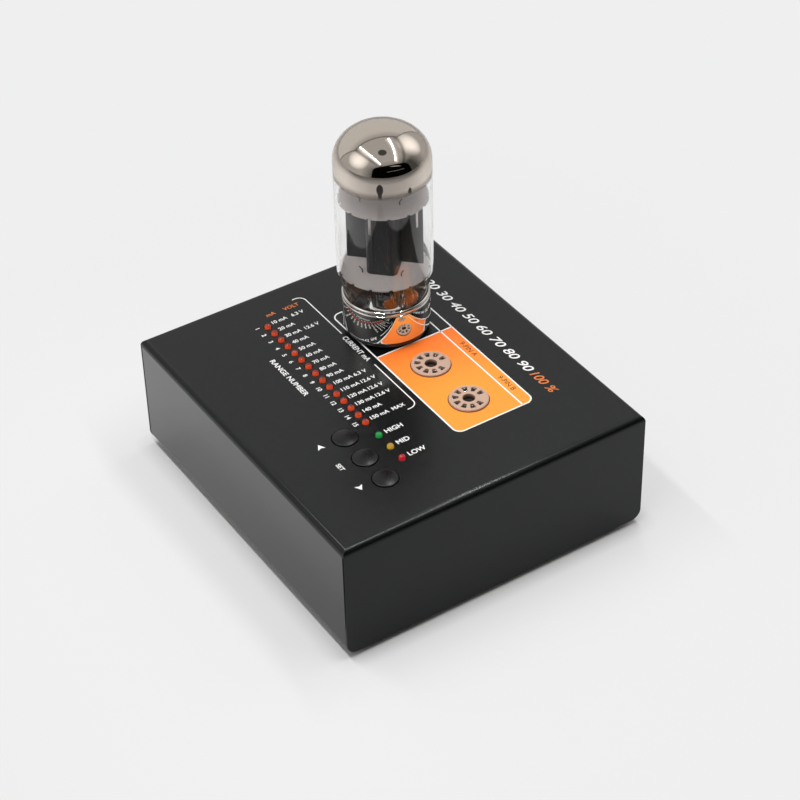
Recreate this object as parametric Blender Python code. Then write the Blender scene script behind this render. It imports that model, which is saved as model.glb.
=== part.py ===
# Tube tester: a folded steel case whose top panel carries valve sockets, indicator lamps
# and push buttons over a circuit board, with an output tube plugged into the big socket.
# Units are metres. +Z is up, X runs from left to right and Y from front to back.
# The origin lies under the middle of the case, on the surface that the feet stand on.
import math

import bmesh
import bpy
from mathutils import Matrix

MM = 0.001

# Clearance between pieces that seat on, fit in or pass through each other
FIT = 0.3 * MM
MERGE = 0.0005 * MM

# Case
CASE_WIDTH = 174.0 * MM
CASE_DEPTH = 155.5 * MM
CASE_HEIGHT = 58.8 * MM
SHEET = 1.2 * MM
FOLD_INNER_RADIUS = 0.8 * MM
SIDE_CORNER_RADIUS = 5.0 * MM
PANEL_RECESS = 0.5 * MM

# Feet and the screws that hold the cover down on the tray
FOOT_HEIGHT = 3.0 * MM
FOOT_RADIUS = 6.0 * MM
FOOT_SPIGOT_RADIUS = 2.0 * MM
FOOT_INSET = 22.0 * MM
COVER_TAB_REACH = 12.0 * MM
COVER_TAB_WIDTH = 14.0 * MM
COVER_TAB_INSET = 45.0 * MM
SCREW_RADIUS = 1.5 * MM
SCREW_HEAD_RADIUS = 2.75 * MM
SCREW_HEAD_HEIGHT = 1.8 * MM
SCREW_TIP = 1.5 * MM

# Circuit board under the panel, and the snap-in spacers that carry it
BOARD_THICKNESS = 1.6 * MM
BOARD_DROP = 12.0 * MM
BOARD_SIDE_MARGIN = 12.0 * MM
BOARD_FRONT_MARGIN = 18.0 * MM
BOARD_BACK_MARGIN = 1.0 * MM
SPACER_RADIUS = 3.0 * MM
SPACER_NOSE_RADIUS = 1.5 * MM
SPACER_BARB_RADIUS = 2.4 * MM
SPACER_BARB_HEIGHT = 2.5 * MM
SPACER_INSET = 6.0 * MM

# Indicator lamps
LAMP_COUNT = 15
LAMP_PITCH = 5.93 * MM
LAMP_FIRST_X = -61.4 * MM
LAMP_ROW_Y = -25.1 * MM
STATUS_FIRST_X = 32.3 * MM
STATUS_PITCH = 9.1 * MM
LAMP_RADIUS = 1.5 * MM
LAMP_PROUD = 2.3 * MM
LAMP_LENGTH = 5.3 * MM
LAMP_RIM_RADIUS = 1.9 * MM
LAMP_RIM_HEIGHT = 1.0 * MM
LAMP_LEAD_WIDTH = 0.5 * MM
LAMP_LEAD_SPACING = 2.54 * MM

# Push buttons on their switches
BUTTON_NAMES = ("up", "ok", "down")
BUTTON_FIRST_X = 25.6 * MM
BUTTON_PITCH = 16.05 * MM
BUTTON_ROW_Y = -38.3 * MM
BUTTON_RADIUS = 5.6 * MM
BUTTON_HOLE_GAP = 0.4 * MM
BUTTON_PROUD = 0.5 * MM
BUTTON_CROWN = 0.6 * MM
BUTTON_EDGE = 0.4 * MM
BUTTON_LIP_WIDTH = 1.2 * MM
BUTTON_LIP_HEIGHT = 1.2 * MM
BUTTON_STEM_RADIUS = 4.2 * MM
BUTTON_TRAVEL = 1.0 * MM
SWITCH_WIDTH = 12.0 * MM
SWITCH_HEIGHT = 3.8 * MM
SWITCH_FLOOR = 0.8 * MM
PLUNGER_RADIUS = 3.4 * MM
PLUNGER_POST_RADIUS = 1.7 * MM
PLUNGER_POST_HEIGHT = 2.5 * MM

# Sockets
SOCKET_ROW_Y = 20.7 * MM
SOCKET_PROUD = 1.1 * MM
SOCKET_EDGE = 0.5 * MM
NOVAL_FIRST_X = 4.2 * MM
NOVAL_PITCH = 29.9 * MM
NOVAL_RADIUS = 9.0 * MM
NOVAL_BASE_RADIUS = 8.2 * MM
NOVAL_BODY_HEIGHT = 9.0 * MM
NOVAL_PIN_CIRCLE_RADIUS = 5.945 * MM
NOVAL_PIN_SLOTS = 10
NOVAL_BLANK_SLOT = 2
NOVAL_FIRST_ANGLE = math.radians(-18.0)
NOVAL_HOLE_WIDTH = 1.7 * MM
NOVAL_HOLE_LENGTH = 2.3 * MM
NOVAL_HOLE_DEPTH = 8.0 * MM
NOVAL_EYE_RADIUS = 2.8 * MM
NOVAL_EYE_DEPTH = 2.6 * MM
NOVAL_BORE_RADIUS = 1.6 * MM
OCTAL_X = -31.9 * MM
OCTAL_RADIUS = 14.5 * MM
OCTAL_PIN_CIRCLE_RADIUS = 8.725 * MM
OCTAL_PIN_COUNT = 8
OCTAL_PIN_RADIUS = 1.18 * MM
OCTAL_PIN_LENGTH = 11.0 * MM
OCTAL_KEY_RADIUS = 3.95 * MM
OCTAL_KEY_LENGTH = 12.0 * MM
OCTAL_KEY_RIB_WIDTH = 1.5 * MM
OCTAL_KEY_RIB_PROUD = 0.9 * MM

# Output tube, built up from the bottom face of its base
WAFER_RADIUS = 19.2 * MM
WAFER_RIM_HEIGHT = 2.2 * MM
WAFER_PLUG_HEIGHT = 3.0 * MM
SLEEVE_RADIUS = 20.1 * MM
SLEEVE_WALL = 0.5 * MM
SLEEVE_HEIGHT = 17.3 * MM
SLEEVE_ROLL = 0.8 * MM
GLASS_RADIUS = 21.8 * MM
GLASS_WALL = 1.0 * MM
GLASS_TAPER = 12.0 * MM
GLASS_STRAIGHT = 57.3 * MM
GLASS_DOME = 16.2 * MM
STEM_SKIRT_HEIGHT = 1.2 * MM
STEM_FLARE_HEIGHT = 6.0 * MM
STEM_NECK_RADIUS = 6.0 * MM
STEM_PRESS_LENGTH = 18.0 * MM
STEM_PRESS_WIDTH = 5.0 * MM
STEM_PRESS_HEIGHT = 6.0 * MM
STEM_LEAD_COUNT = 5
STEM_LEAD_RADIUS = 0.6 * MM
STEM_LEAD_PITCH = 3.6 * MM
MICA_THICKNESS = 0.6 * MM
MICA_GLASS_GAP = 0.6 * MM
MICA_SPACING = 38.1 * MM
ANODE_ANGLE = math.radians(45.0)
ANODE_WIDTH = 14.0 * MM
ANODE_DEPTH = 17.0 * MM
ANODE_SPAN = 35.0 * MM
ANODE_SHEET = 0.8 * MM
CATHODE_WIDTH = 8.0 * MM
CATHODE_DEPTH = 3.0 * MM
GETTER_SPAN = 22.0 * MM
GETTER_STRAP_WIDTH = 2.0 * MM
GETTER_STRAP_HEIGHT = 0.6 * MM
GETTER_POST_RADIUS = 0.5 * MM
GETTER_POST_HEIGHT = 8.0 * MM
GETTER_CUP_RADIUS = 3.0 * MM
GETTER_CUP_HEIGHT = 1.2 * MM

# Parts on the underside of the board
JACK_WIDTH = 9.0 * MM
JACK_LENGTH = 14.0 * MM
JACK_HEIGHT = 11.0 * MM
JACK_SIDE_INSET = 34.0 * MM
JACK_MOUTH_RADIUS = 3.1 * MM
JACK_PIN_RADIUS = 1.05 * MM
JACK_MOUTH_DEPTH = 9.5 * MM
JACK_WINDOW_MARGIN = 1.2 * MM
CORE_WIDTH = 30.0 * MM
CORE_DEPTH = 12.0 * MM
CORE_HEIGHT = 24.0 * MM
WINDING_WIDTH = 20.0 * MM
WINDING_DEPTH = 24.0 * MM
WINDING_HEIGHT = 16.0 * MM
TRANSFORMER_X = 46.0 * MM
TRANSFORMER_Y = -12.0 * MM
CAPACITOR_RADIUS = 8.0 * MM
CAPACITOR_HEIGHT = 25.0 * MM
CAPACITOR_EDGE = 1.0 * MM
CAPACITOR_X = 10.0 * MM
CAPACITOR_BACK_INSET = 20.0 * MM
HEAT_SINK_WIDTH = 30.0 * MM
HEAT_SINK_HEIGHT = 22.0 * MM
HEAT_SINK_LENGTH = 25.0 * MM
HEAT_SINK_BASE = 3.0 * MM
HEAT_SINK_FIN = 1.5 * MM
HEAT_SINK_FINS = 5
HEAT_SINK_X = -50.0 * MM
HEAT_SINK_BACK_INSET = 20.0 * MM
CHIP_LENGTH = 35.0 * MM
CHIP_WIDTH = 7.0 * MM
CHIP_HEIGHT = 3.5 * MM
CHIP_X = -22.0 * MM
CHIP_Y = -14.0 * MM
CHIP_EDGE = 0.6 * MM

# Levels and places that follow from the sizes above
PANEL_TOP = FOOT_HEIGHT + CASE_HEIGHT
PANEL_UNDER = PANEL_TOP - SHEET
TRAY_UNDER = FOOT_HEIGHT + PANEL_RECESS
TRAY_FLOOR = TRAY_UNDER + SHEET
TRAY_HALF_WIDTH = CASE_WIDTH / 2 - SHEET - FIT
TRAY_HALF_DEPTH = CASE_DEPTH / 2 - PANEL_RECESS
BOARD_TOP = PANEL_UNDER - BOARD_DROP
BOARD_UNDER = BOARD_TOP - BOARD_THICKNESS
BOARD_HALF_WIDTH = CASE_WIDTH / 2 - BOARD_SIDE_MARGIN
BOARD_FRONT = -CASE_DEPTH / 2 + BOARD_FRONT_MARGIN
BOARD_BACK = TRAY_HALF_DEPTH - SHEET - BOARD_BACK_MARGIN
SOCKET_TOP = PANEL_TOP + SOCKET_PROUD
SCREW_HOLE_RADIUS = SCREW_RADIUS + FIT
WAFER_UNDER = SOCKET_TOP + FIT
SLEEVE_UNDER = WAFER_UNDER + WAFER_RIM_HEIGHT + FIT
SLEEVE_TOP = SLEEVE_UNDER + SLEEVE_HEIGHT
SLEEVE_BORE = SLEEVE_RADIUS - SLEEVE_WALL
WAFER_PLUG_TOP = SLEEVE_UNDER + WAFER_PLUG_HEIGHT
GLASS_NECK_RADIUS = SLEEVE_RADIUS - SLEEVE_ROLL - FIT
GLASS_UNDER = WAFER_PLUG_TOP + FIT
BULB_START = SLEEVE_TOP + GLASS_TAPER
DOME_START = BULB_START + GLASS_STRAIGHT
MICA_RADIUS = GLASS_RADIUS - GLASS_WALL - MICA_GLASS_GAP
MICA_LOWER_UNDER = BULB_START + FIT
MICA_UPPER_UNDER = MICA_LOWER_UNDER + MICA_SPACING
ANODE_UNDER = MICA_LOWER_UNDER + MICA_THICKNESS + FIT
ANODE_TOP = MICA_UPPER_UNDER - FIT
JACK_X = CASE_WIDTH / 2 - JACK_SIDE_INSET
JACK_Z = BOARD_UNDER - FIT - JACK_HEIGHT / 2
JACK_FACE_Y = TRAY_HALF_DEPTH - SHEET - FIT

# Facets around a full turn, by size of piece
FINE = 32
MIDDLE = 20
SMALL = 12
WIRE = 8

# Straight steps along a curve of an outline
FOLD_STEPS = 5
CORNER_STEPS = 6
CROWN_STEPS = 3
FLARE_STEPS = 4
DOME_STEPS = 7

# Finish of each kind of piece: colour, roughness, metallic value
FINISHES = {
    "coat": ((0.028, 0.030, 0.031), 0.42, 0.0),
    "rubber": ((0.020, 0.020, 0.020), 0.85, 0.0),
    "zinc": ((0.55, 0.55, 0.53), 0.35, 1.0),
    "board": ((0.02, 0.12, 0.05), 0.45, 0.0),
    "nylon": ((0.80, 0.79, 0.74), 0.50, 0.0),
    "red": ((0.60, 0.035, 0.015), 0.15, 0.0),
    "green": ((0.02, 0.35, 0.06), 0.15, 0.0),
    "amber": ((0.60, 0.34, 0.03), 0.15, 0.0),
    "button": ((0.012, 0.013, 0.014), 0.30, 0.0),
    "switch": ((0.03, 0.03, 0.03), 0.55, 0.0),
    "ceramic": ((0.60, 0.43, 0.34), 0.50, 0.0),
    "phenolic": ((0.015, 0.013, 0.012), 0.40, 0.0),
    "chrome": ((0.75, 0.74, 0.72), 0.06, 1.0),
    "glass": ((0.95, 0.96, 0.96), 0.02, 0.0),
    "mica": ((0.55, 0.47, 0.44), 0.40, 0.0),
    "anode": ((0.06, 0.065, 0.068), 0.55, 0.3),
    "cathode": ((0.80, 0.79, 0.76), 0.70, 0.0),
    "nickel": ((0.60, 0.59, 0.57), 0.30, 1.0),
    "ferrite": ((0.05, 0.05, 0.055), 0.60, 0.0),
    "can": ((0.03, 0.05, 0.16), 0.35, 0.0),
    "aluminium": ((0.50, 0.51, 0.52), 0.40, 1.0),
    "chip": ((0.02, 0.02, 0.022), 0.50, 0.0),
}


def clear_scene():
    for item in list(bpy.data.objects):
        bpy.data.objects.remove(item, do_unlink=True)


def make_material(name, finish):
    colour, roughness, metallic = FINISHES[finish]
    material = bpy.data.materials.new(name)
    material.use_nodes = True
    shader = material.node_tree.nodes["Principled BSDF"]
    shader.inputs["Base Color"].default_value = (*colour, 1.0)
    shader.inputs["Roughness"].default_value = roughness
    shader.inputs["Metallic"].default_value = metallic
    return material


def mesh_from(name, shape):
    bmesh.ops.recalc_face_normals(shape, faces=shape.faces)
    mesh = bpy.data.meshes.new(name)
    shape.to_mesh(mesh)
    shape.free()
    mesh.shade_smooth()
    mesh.set_sharp_from_angle(angle=math.radians(35.0))
    return mesh


def add_piece(name, mesh, finish, location=(0.0, 0.0, 0.0), turn=0.0, parent=None):
    piece = bpy.data.objects.new(name, mesh)
    bpy.context.scene.collection.objects.link(piece)
    mesh.materials.clear()
    mesh.materials.append(make_material(name, finish))
    piece.location = location
    piece.rotation_euler = (0.0, 0.0, turn)
    piece.parent = parent
    return piece


def add_empty(name, location):
    empty = bpy.data.objects.new(name, None)
    bpy.context.scene.collection.objects.link(empty)
    empty.location = location
    return empty


def add_tool(name, shape, parent=None):
    tool = bpy.data.objects.new(name, mesh_from(name, shape))
    bpy.context.scene.collection.objects.link(tool)
    tool.parent = parent
    tool.hide_render = True
    tool.display_type = "WIRE"
    return tool


def combine(piece, tool, operation):
    modifier = piece.modifiers.new(tool.name, "BOOLEAN")
    modifier.operation = operation
    modifier.solver = "EXACT"
    modifier.object = tool


def finished_mesh(name, shape, steps):
    # Mesh of a shape after its Boolean steps, for a piece that is repeated
    piece = bpy.data.objects.new(name, mesh_from(name, shape))
    bpy.context.scene.collection.objects.link(piece)
    for number, (tool_shape, operation) in enumerate(steps):
        combine(piece, add_tool(f"{name}_tool_{number}", tool_shape), operation)
    graph = bpy.context.evaluated_depsgraph_get()
    mesh = bpy.data.meshes.new_from_object(piece.evaluated_get(graph))
    bpy.data.objects.remove(piece)
    return mesh


def turned(profile, segments):
    # Solid of revolution about Z from (radius, height) points; a profile that starts
    # off the axis is a closed loop
    shape = bmesh.new()
    points = [shape.verts.new((radius, 0.0, height)) for radius, height in profile]
    edges = [shape.edges.new(pair) for pair in zip(points, points[1:])]
    if profile[0][0] > 0.0:
        edges.append(shape.edges.new((points[-1], points[0])))
    bmesh.ops.spin(shape, geom=points + edges, cent=(0.0, 0.0, 0.0), axis=(0.0, 0.0, 1.0),
                   angle=math.tau, steps=segments, use_merge=True)
    bmesh.ops.remove_doubles(shape, verts=shape.verts, dist=MERGE)
    return shape


def prism(outline, depth, place):
    # Outline in the plane of the first two axes of place, extruded along the third
    shape = bmesh.new()
    face = shape.faces.new([shape.verts.new((u, v, -depth / 2)) for u, v in outline])
    grown = bmesh.ops.extrude_face_region(shape, geom=[face])
    moved = [item for item in grown["geom"] if isinstance(item, bmesh.types.BMVert)]
    bmesh.ops.translate(shape, verts=moved, vec=(0.0, 0.0, depth))
    shape.transform(place)
    return shape


def add_box(shape, size, centre, turn=0.0):
    place = Matrix.Translation(centre) @ Matrix.Rotation(turn, 4, "Z") @ Matrix.Diagonal((*size, 1.0))
    bmesh.ops.create_cube(shape, size=1.0, matrix=place)
    return shape


def add_rod(shape, radius, low, high, x=0.0, y=0.0, segments=SMALL):
    place = Matrix.Translation((x, y, (low + high) / 2))
    bmesh.ops.create_cone(shape, cap_ends=True, segments=segments, radius1=radius, radius2=radius,
                          depth=high - low, matrix=place)
    return shape


def arc(centre, radius, start, end, steps):
    turn = (end - start) / steps
    return [(centre[0] + radius * math.cos(start + turn * step),
             centre[1] + radius * math.sin(start + turn * step)) for step in range(steps + 1)]


def around(count, radius, first=0.0):
    angles = [first + math.tau * number / count for number in range(count)]
    return [(radius * math.cos(angle), radius * math.sin(angle), angle) for angle in angles]


ALONG_X = Matrix(((0, 0, 1, 0), (1, 0, 0, 0), (0, 1, 0, 0), (0, 0, 0, 1)))
ALONG_Y = Matrix(((1, 0, 0, 0), (0, 0, -1, 0), (0, 1, 0, 0), (0, 0, 0, 1)))

LAMPS = [(f"lamp_{number + 1:02d}", LAMP_FIRST_X + number * LAMP_PITCH, "red")
         for number in range(LAMP_COUNT)]
STATUS_LAMPS = (("lamp_good", "green"), ("lamp_worn", "amber"), ("lamp_fail", "red"))
LAMPS += [(name, STATUS_FIRST_X + number * STATUS_PITCH, finish)
          for number, (name, finish) in enumerate(STATUS_LAMPS)]
BUTTONS = [(name, BUTTON_FIRST_X + number * BUTTON_PITCH) for number, name in enumerate(BUTTON_NAMES)]
NOVALS = [("a", NOVAL_FIRST_X), ("b", NOVAL_FIRST_X + NOVAL_PITCH)]
CORNERS = [(side, end) for side in (-1, 1) for end in (-1, 1)]
TAB_X = CASE_WIDTH / 2 - SHEET - COVER_TAB_REACH / 2
TAB_Y = CASE_DEPTH / 2 - COVER_TAB_INSET
SPACER_X = BOARD_HALF_WIDTH - SPACER_INSET


def make_cover():
    half = CASE_WIDTH / 2
    outer = FOLD_INNER_RADIUS + SHEET
    centre_x = half - outer
    centre_z = PANEL_TOP - outer
    quarter = math.pi / 2
    outline = [(half, FOOT_HEIGHT)]
    outline += arc((centre_x, centre_z), outer, 0.0, quarter, FOLD_STEPS)
    outline += arc((-centre_x, centre_z), outer, quarter, math.pi, FOLD_STEPS)
    outline += [(-half, FOOT_HEIGHT), (SHEET - half, FOOT_HEIGHT)]
    outline += arc((-centre_x, centre_z), FOLD_INNER_RADIUS, math.pi, quarter, FOLD_STEPS)
    outline += arc((centre_x, centre_z), FOLD_INNER_RADIUS, quarter, 0.0, FOLD_STEPS)
    outline += [(half - SHEET, FOOT_HEIGHT)]
    cover = add_piece("top_cover", mesh_from("top_cover", prism(outline, CASE_DEPTH, ALONG_Y)), "coat")

    # Side panels with rounded lower corners
    back = CASE_DEPTH / 2
    round_y = back - SIDE_CORNER_RADIUS
    round_z = FOOT_HEIGHT + SIDE_CORNER_RADIUS
    side = [(back, PANEL_TOP + SHEET), (-back, PANEL_TOP + SHEET)]
    side += arc((-round_y, round_z), SIDE_CORNER_RADIUS, math.pi, 1.5 * math.pi, CORNER_STEPS)
    side += arc((round_y, round_z), SIDE_CORNER_RADIUS, 1.5 * math.pi, math.tau, CORNER_STEPS)
    combine(cover, add_tool("cover_side_shape", prism(side, CASE_WIDTH + 2 * SHEET, ALONG_X)), "INTERSECT")

    # Inward tabs that take the screws from below
    tabs = bmesh.new()
    tab_under = TRAY_FLOOR + FIT
    for side_sign, end in CORNERS:
        size = (COVER_TAB_REACH + SHEET / 2, COVER_TAB_WIDTH, SHEET)
        centre = (side_sign * (TAB_X + SHEET / 4), end * TAB_Y, tab_under + SHEET / 2)
        add_box(tabs, size, centre)
    combine(cover, add_tool("cover_tabs", tabs), "UNION")

    holes = bmesh.new()
    low = PANEL_UNDER - SHEET
    high = PANEL_TOP + SHEET
    for _, lamp_x, _ in LAMPS:
        add_rod(holes, LAMP_RADIUS + FIT, low, high, lamp_x, LAMP_ROW_Y)
    for _, button_x in BUTTONS:
        add_rod(holes, BUTTON_RADIUS + BUTTON_HOLE_GAP, low, high, button_x, BUTTON_ROW_Y, MIDDLE)
    for _, socket_x in NOVALS:
        add_rod(holes, NOVAL_RADIUS + FIT, low, high, socket_x, SOCKET_ROW_Y, MIDDLE)
    add_rod(holes, OCTAL_RADIUS + FIT, low, high, OCTAL_X, SOCKET_ROW_Y, MIDDLE)
    for side_sign, end in CORNERS:
        add_rod(holes, SCREW_HOLE_RADIUS, TRAY_UNDER, tab_under + 2 * SHEET, side_sign * TAB_X, end * TAB_Y)
    combine(cover, add_tool("cover_holes", holes), "DIFFERENCE")


def make_tray():
    outer = SIDE_CORNER_RADIUS - PANEL_RECESS
    inner = outer - SHEET
    half = TRAY_HALF_DEPTH
    top = PANEL_UNDER - FIT
    round_y = half - outer
    round_z = TRAY_UNDER + outer
    outline = [(-half, top)]
    outline += arc((-round_y, round_z), outer, math.pi, 1.5 * math.pi, CORNER_STEPS)
    outline += arc((round_y, round_z), outer, 1.5 * math.pi, math.tau, CORNER_STEPS)
    outline += [(half, top), (half - SHEET, top)]
    outline += arc((round_y, round_z), inner, math.tau, 1.5 * math.pi, CORNER_STEPS)
    outline += arc((-round_y, round_z), inner, 1.5 * math.pi, math.pi, CORNER_STEPS)
    outline += [(SHEET - half, top)]
    shape = prism(outline, 2 * TRAY_HALF_WIDTH, ALONG_X)
    tray = add_piece("chassis_tray", mesh_from("chassis_tray", shape), "coat")

    holes = bmesh.new()
    low = TRAY_UNDER - SHEET
    high = TRAY_FLOOR + SHEET
    for side_sign, end in CORNERS:
        add_rod(holes, SCREW_HOLE_RADIUS, low, high, side_sign * TAB_X, end * TAB_Y)
        add_rod(holes, FOOT_SPIGOT_RADIUS + FIT, low, high, *foot_place(side_sign, end))
    window = JACK_MOUTH_RADIUS + JACK_WINDOW_MARGIN
    depth = 4 * SHEET
    rod = add_rod(bmesh.new(), window, -depth / 2, depth / 2, segments=MIDDLE)
    rod.transform(Matrix.Translation((JACK_X, TRAY_HALF_DEPTH - SHEET / 2, JACK_Z)) @ ALONG_Y)
    combine(tray, add_tool("tray_holes", holes), "DIFFERENCE")
    combine(tray, add_tool("jack_window", rod), "DIFFERENCE")


def foot_place(side_sign, end):
    return side_sign * (CASE_WIDTH / 2 - FOOT_INSET), end * (CASE_DEPTH / 2 - FOOT_INSET)


def make_feet():
    seat = TRAY_UNDER - FIT
    edge = FOOT_HEIGHT / 6
    spigot_top = TRAY_FLOOR + SHEET
    profile = [(0.0, 0.0), (FOOT_RADIUS - edge, 0.0), (FOOT_RADIUS, edge), (FOOT_RADIUS, seat),
               (FOOT_SPIGOT_RADIUS, seat), (FOOT_SPIGOT_RADIUS, spigot_top), (0.0, spigot_top)]
    mesh = mesh_from("foot", turned(profile, MIDDLE))
    for number, (side_sign, end) in enumerate(CORNERS):
        place = (*foot_place(side_sign, end), 0.0)
        add_piece(f"foot_{number + 1}", mesh.copy(), "rubber", place)


def make_cover_screws():
    head_top = TRAY_UNDER - FIT
    head_under = head_top - SCREW_HEAD_HEIGHT
    tip = TRAY_FLOOR + FIT + SHEET + SCREW_TIP
    crown = SCREW_HEAD_HEIGHT / 3
    profile = [(0.0, head_under), (SCREW_HEAD_RADIUS - crown, head_under),
               (SCREW_HEAD_RADIUS, head_under + crown), (SCREW_HEAD_RADIUS, head_top),
               (SCREW_RADIUS, head_top), (SCREW_RADIUS, tip), (0.0, tip)]
    mesh = mesh_from("cover_screw", turned(profile, SMALL))
    for number, (side_sign, end) in enumerate(CORNERS):
        add_piece(f"cover_screw_{number + 1}", mesh.copy(), "zinc", (side_sign * TAB_X, end * TAB_Y, 0.0))


def spacer_places():
    return [(side_sign * SPACER_X, y) for side_sign in (-1, 1)
            for y in (BOARD_FRONT + SPACER_INSET, BOARD_BACK - SPACER_INSET)]


def make_board():
    centre = (0.0, (BOARD_FRONT + BOARD_BACK) / 2, (BOARD_TOP + BOARD_UNDER) / 2)
    size = (2 * BOARD_HALF_WIDTH, BOARD_BACK - BOARD_FRONT, BOARD_THICKNESS)
    board = add_piece("main_board", mesh_from("main_board", add_box(bmesh.new(), size, centre)), "board")
    holes = bmesh.new()
    for x, y in spacer_places():
        add_rod(holes, SPACER_NOSE_RADIUS + FIT, BOARD_UNDER - BOARD_THICKNESS,
                BOARD_TOP + BOARD_THICKNESS, x, y)
    combine(board, add_tool("board_holes", holes), "DIFFERENCE")


def make_spacers():
    top = PANEL_UNDER - FIT
    seat = BOARD_TOP + FIT
    barb = BOARD_UNDER - FIT
    tip = barb - SPACER_BARB_HEIGHT
    profile = [(0.0, top), (SPACER_RADIUS, top), (SPACER_RADIUS, seat), (SPACER_NOSE_RADIUS, seat),
               (SPACER_NOSE_RADIUS, barb), (SPACER_BARB_RADIUS, barb), (SPACER_NOSE_RADIUS, tip), (0.0, tip)]
    mesh = mesh_from("board_spacer", turned(profile, SMALL))
    for number, (x, y) in enumerate(spacer_places()):
        add_piece(f"board_spacer_{number + 1}", mesh.copy(), "nylon", (x, y, 0.0))


def make_lamps():
    top = PANEL_TOP + LAMP_PROUD
    under = top - LAMP_LENGTH
    shoulder = top - LAMP_RADIUS
    dome = arc((0.0, shoulder), LAMP_RADIUS, math.pi / 2, 0.0, CROWN_STEPS)
    dome[0] = (0.0, top)
    profile = dome + [(LAMP_RADIUS, under + LAMP_RIM_HEIGHT), (LAMP_RIM_RADIUS, under + LAMP_RIM_HEIGHT),
                      (LAMP_RIM_RADIUS, under), (0.0, under)]
    leads = bmesh.new()
    low = BOARD_TOP + FIT
    high = under + LAMP_RIM_HEIGHT / 2
    for sign in (-1, 1):
        size = (LAMP_LEAD_WIDTH, LAMP_LEAD_WIDTH, high - low)
        add_box(leads, size, (0.0, sign * LAMP_LEAD_SPACING / 2, (low + high) / 2))
    mesh = finished_mesh("lamp", turned(profile, SMALL), [(leads, "UNION")])
    for name, lamp_x, finish in LAMPS:
        add_piece(name, mesh.copy(), finish, (lamp_x, LAMP_ROW_Y, 0.0))


def make_buttons():
    switch_under = BOARD_TOP + FIT
    switch_top = switch_under + SWITCH_HEIGHT
    well_floor = switch_under + SWITCH_FLOOR
    plunger_under = well_floor + BUTTON_TRAVEL + FIT
    shoulder = switch_top + BUTTON_TRAVEL + FIT
    post_top = shoulder + PLUNGER_POST_HEIGHT
    stem_under = shoulder + FIT
    lip_top = PANEL_UNDER - FIT
    lip_under = lip_top - BUTTON_LIP_HEIGHT
    rim = PANEL_TOP + BUTTON_PROUD
    crown = rim + BUTTON_CROWN
    crown_radius = BUTTON_RADIUS - BUTTON_EDGE
    lip_radius = BUTTON_RADIUS + BUTTON_LIP_WIDTH
    bore = PLUNGER_POST_RADIUS + FIT

    # Shallow dome over the cap, as a parabola from its middle to its edge
    dome = [(crown_radius * step / CROWN_STEPS, crown - BUTTON_CROWN * (step / CROWN_STEPS) ** 2)
            for step in range(CROWN_STEPS + 1)]
    profile = dome + [(BUTTON_RADIUS, rim - BUTTON_EDGE), (BUTTON_RADIUS, lip_top), (lip_radius, lip_top),
                      (lip_radius, lip_under), (BUTTON_STEM_RADIUS, lip_under),
                      (BUTTON_STEM_RADIUS, stem_under), (bore, stem_under), (bore, post_top + FIT),
                      (0.0, post_top + FIT)]
    cap = mesh_from("button_cap", turned(profile, MIDDLE))
    post = [(0.0, post_top), (PLUNGER_POST_RADIUS, post_top), (PLUNGER_POST_RADIUS, shoulder),
            (PLUNGER_RADIUS, shoulder), (PLUNGER_RADIUS, plunger_under), (0.0, plunger_under)]
    plunger = mesh_from("switch_plunger", turned(post, SMALL))
    housing = add_box(bmesh.new(), (SWITCH_WIDTH, SWITCH_WIDTH, SWITCH_HEIGHT),
                      (0.0, 0.0, (switch_under + switch_top) / 2))
    well = add_rod(bmesh.new(), PLUNGER_RADIUS + FIT, well_floor, switch_top + SWITCH_HEIGHT)
    body = finished_mesh("switch_body", housing, [(well, "DIFFERENCE")])
    for name, button_x in BUTTONS:
        place = (button_x, BUTTON_ROW_Y, 0.0)
        axis = add_empty(f"button_{name}_axis", place)
        add_piece(f"button_cap_{name}", cap.copy(), "button", parent=axis)
        add_piece(f"switch_plunger_{name}", plunger.copy(), "nylon", parent=axis)
        add_piece(f"switch_body_{name}", body.copy(), "switch", place)


def make_noval_sockets():
    under = BOARD_TOP + FIT
    step = SOCKET_TOP - NOVAL_BODY_HEIGHT
    eye_floor = SOCKET_TOP - NOVAL_EYE_DEPTH
    profile = [(NOVAL_EYE_RADIUS, SOCKET_TOP), (NOVAL_RADIUS - SOCKET_EDGE, SOCKET_TOP),
               (NOVAL_RADIUS, SOCKET_TOP - SOCKET_EDGE), (NOVAL_RADIUS, step), (NOVAL_BASE_RADIUS, step),
               (NOVAL_BASE_RADIUS, under), (NOVAL_BORE_RADIUS, under), (NOVAL_BORE_RADIUS, eye_floor),
               (NOVAL_EYE_RADIUS, eye_floor)]
    holes = bmesh.new()
    low = SOCKET_TOP - NOVAL_HOLE_DEPTH
    high = SOCKET_TOP + SOCKET_EDGE
    slots = around(NOVAL_PIN_SLOTS, NOVAL_PIN_CIRCLE_RADIUS, NOVAL_FIRST_ANGLE)
    for number, (x, y, angle) in enumerate(slots):
        if number != NOVAL_BLANK_SLOT:
            size = (NOVAL_HOLE_LENGTH, NOVAL_HOLE_WIDTH, high - low)
            add_box(holes, size, (x, y, (low + high) / 2), angle)
    mesh = finished_mesh("noval_socket", turned(profile, MIDDLE), [(holes, "DIFFERENCE")])
    for name, socket_x in NOVALS:
        add_piece(f"noval_socket_{name}", mesh.copy(), "ceramic", (socket_x, SOCKET_ROW_Y, 0.0))


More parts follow.
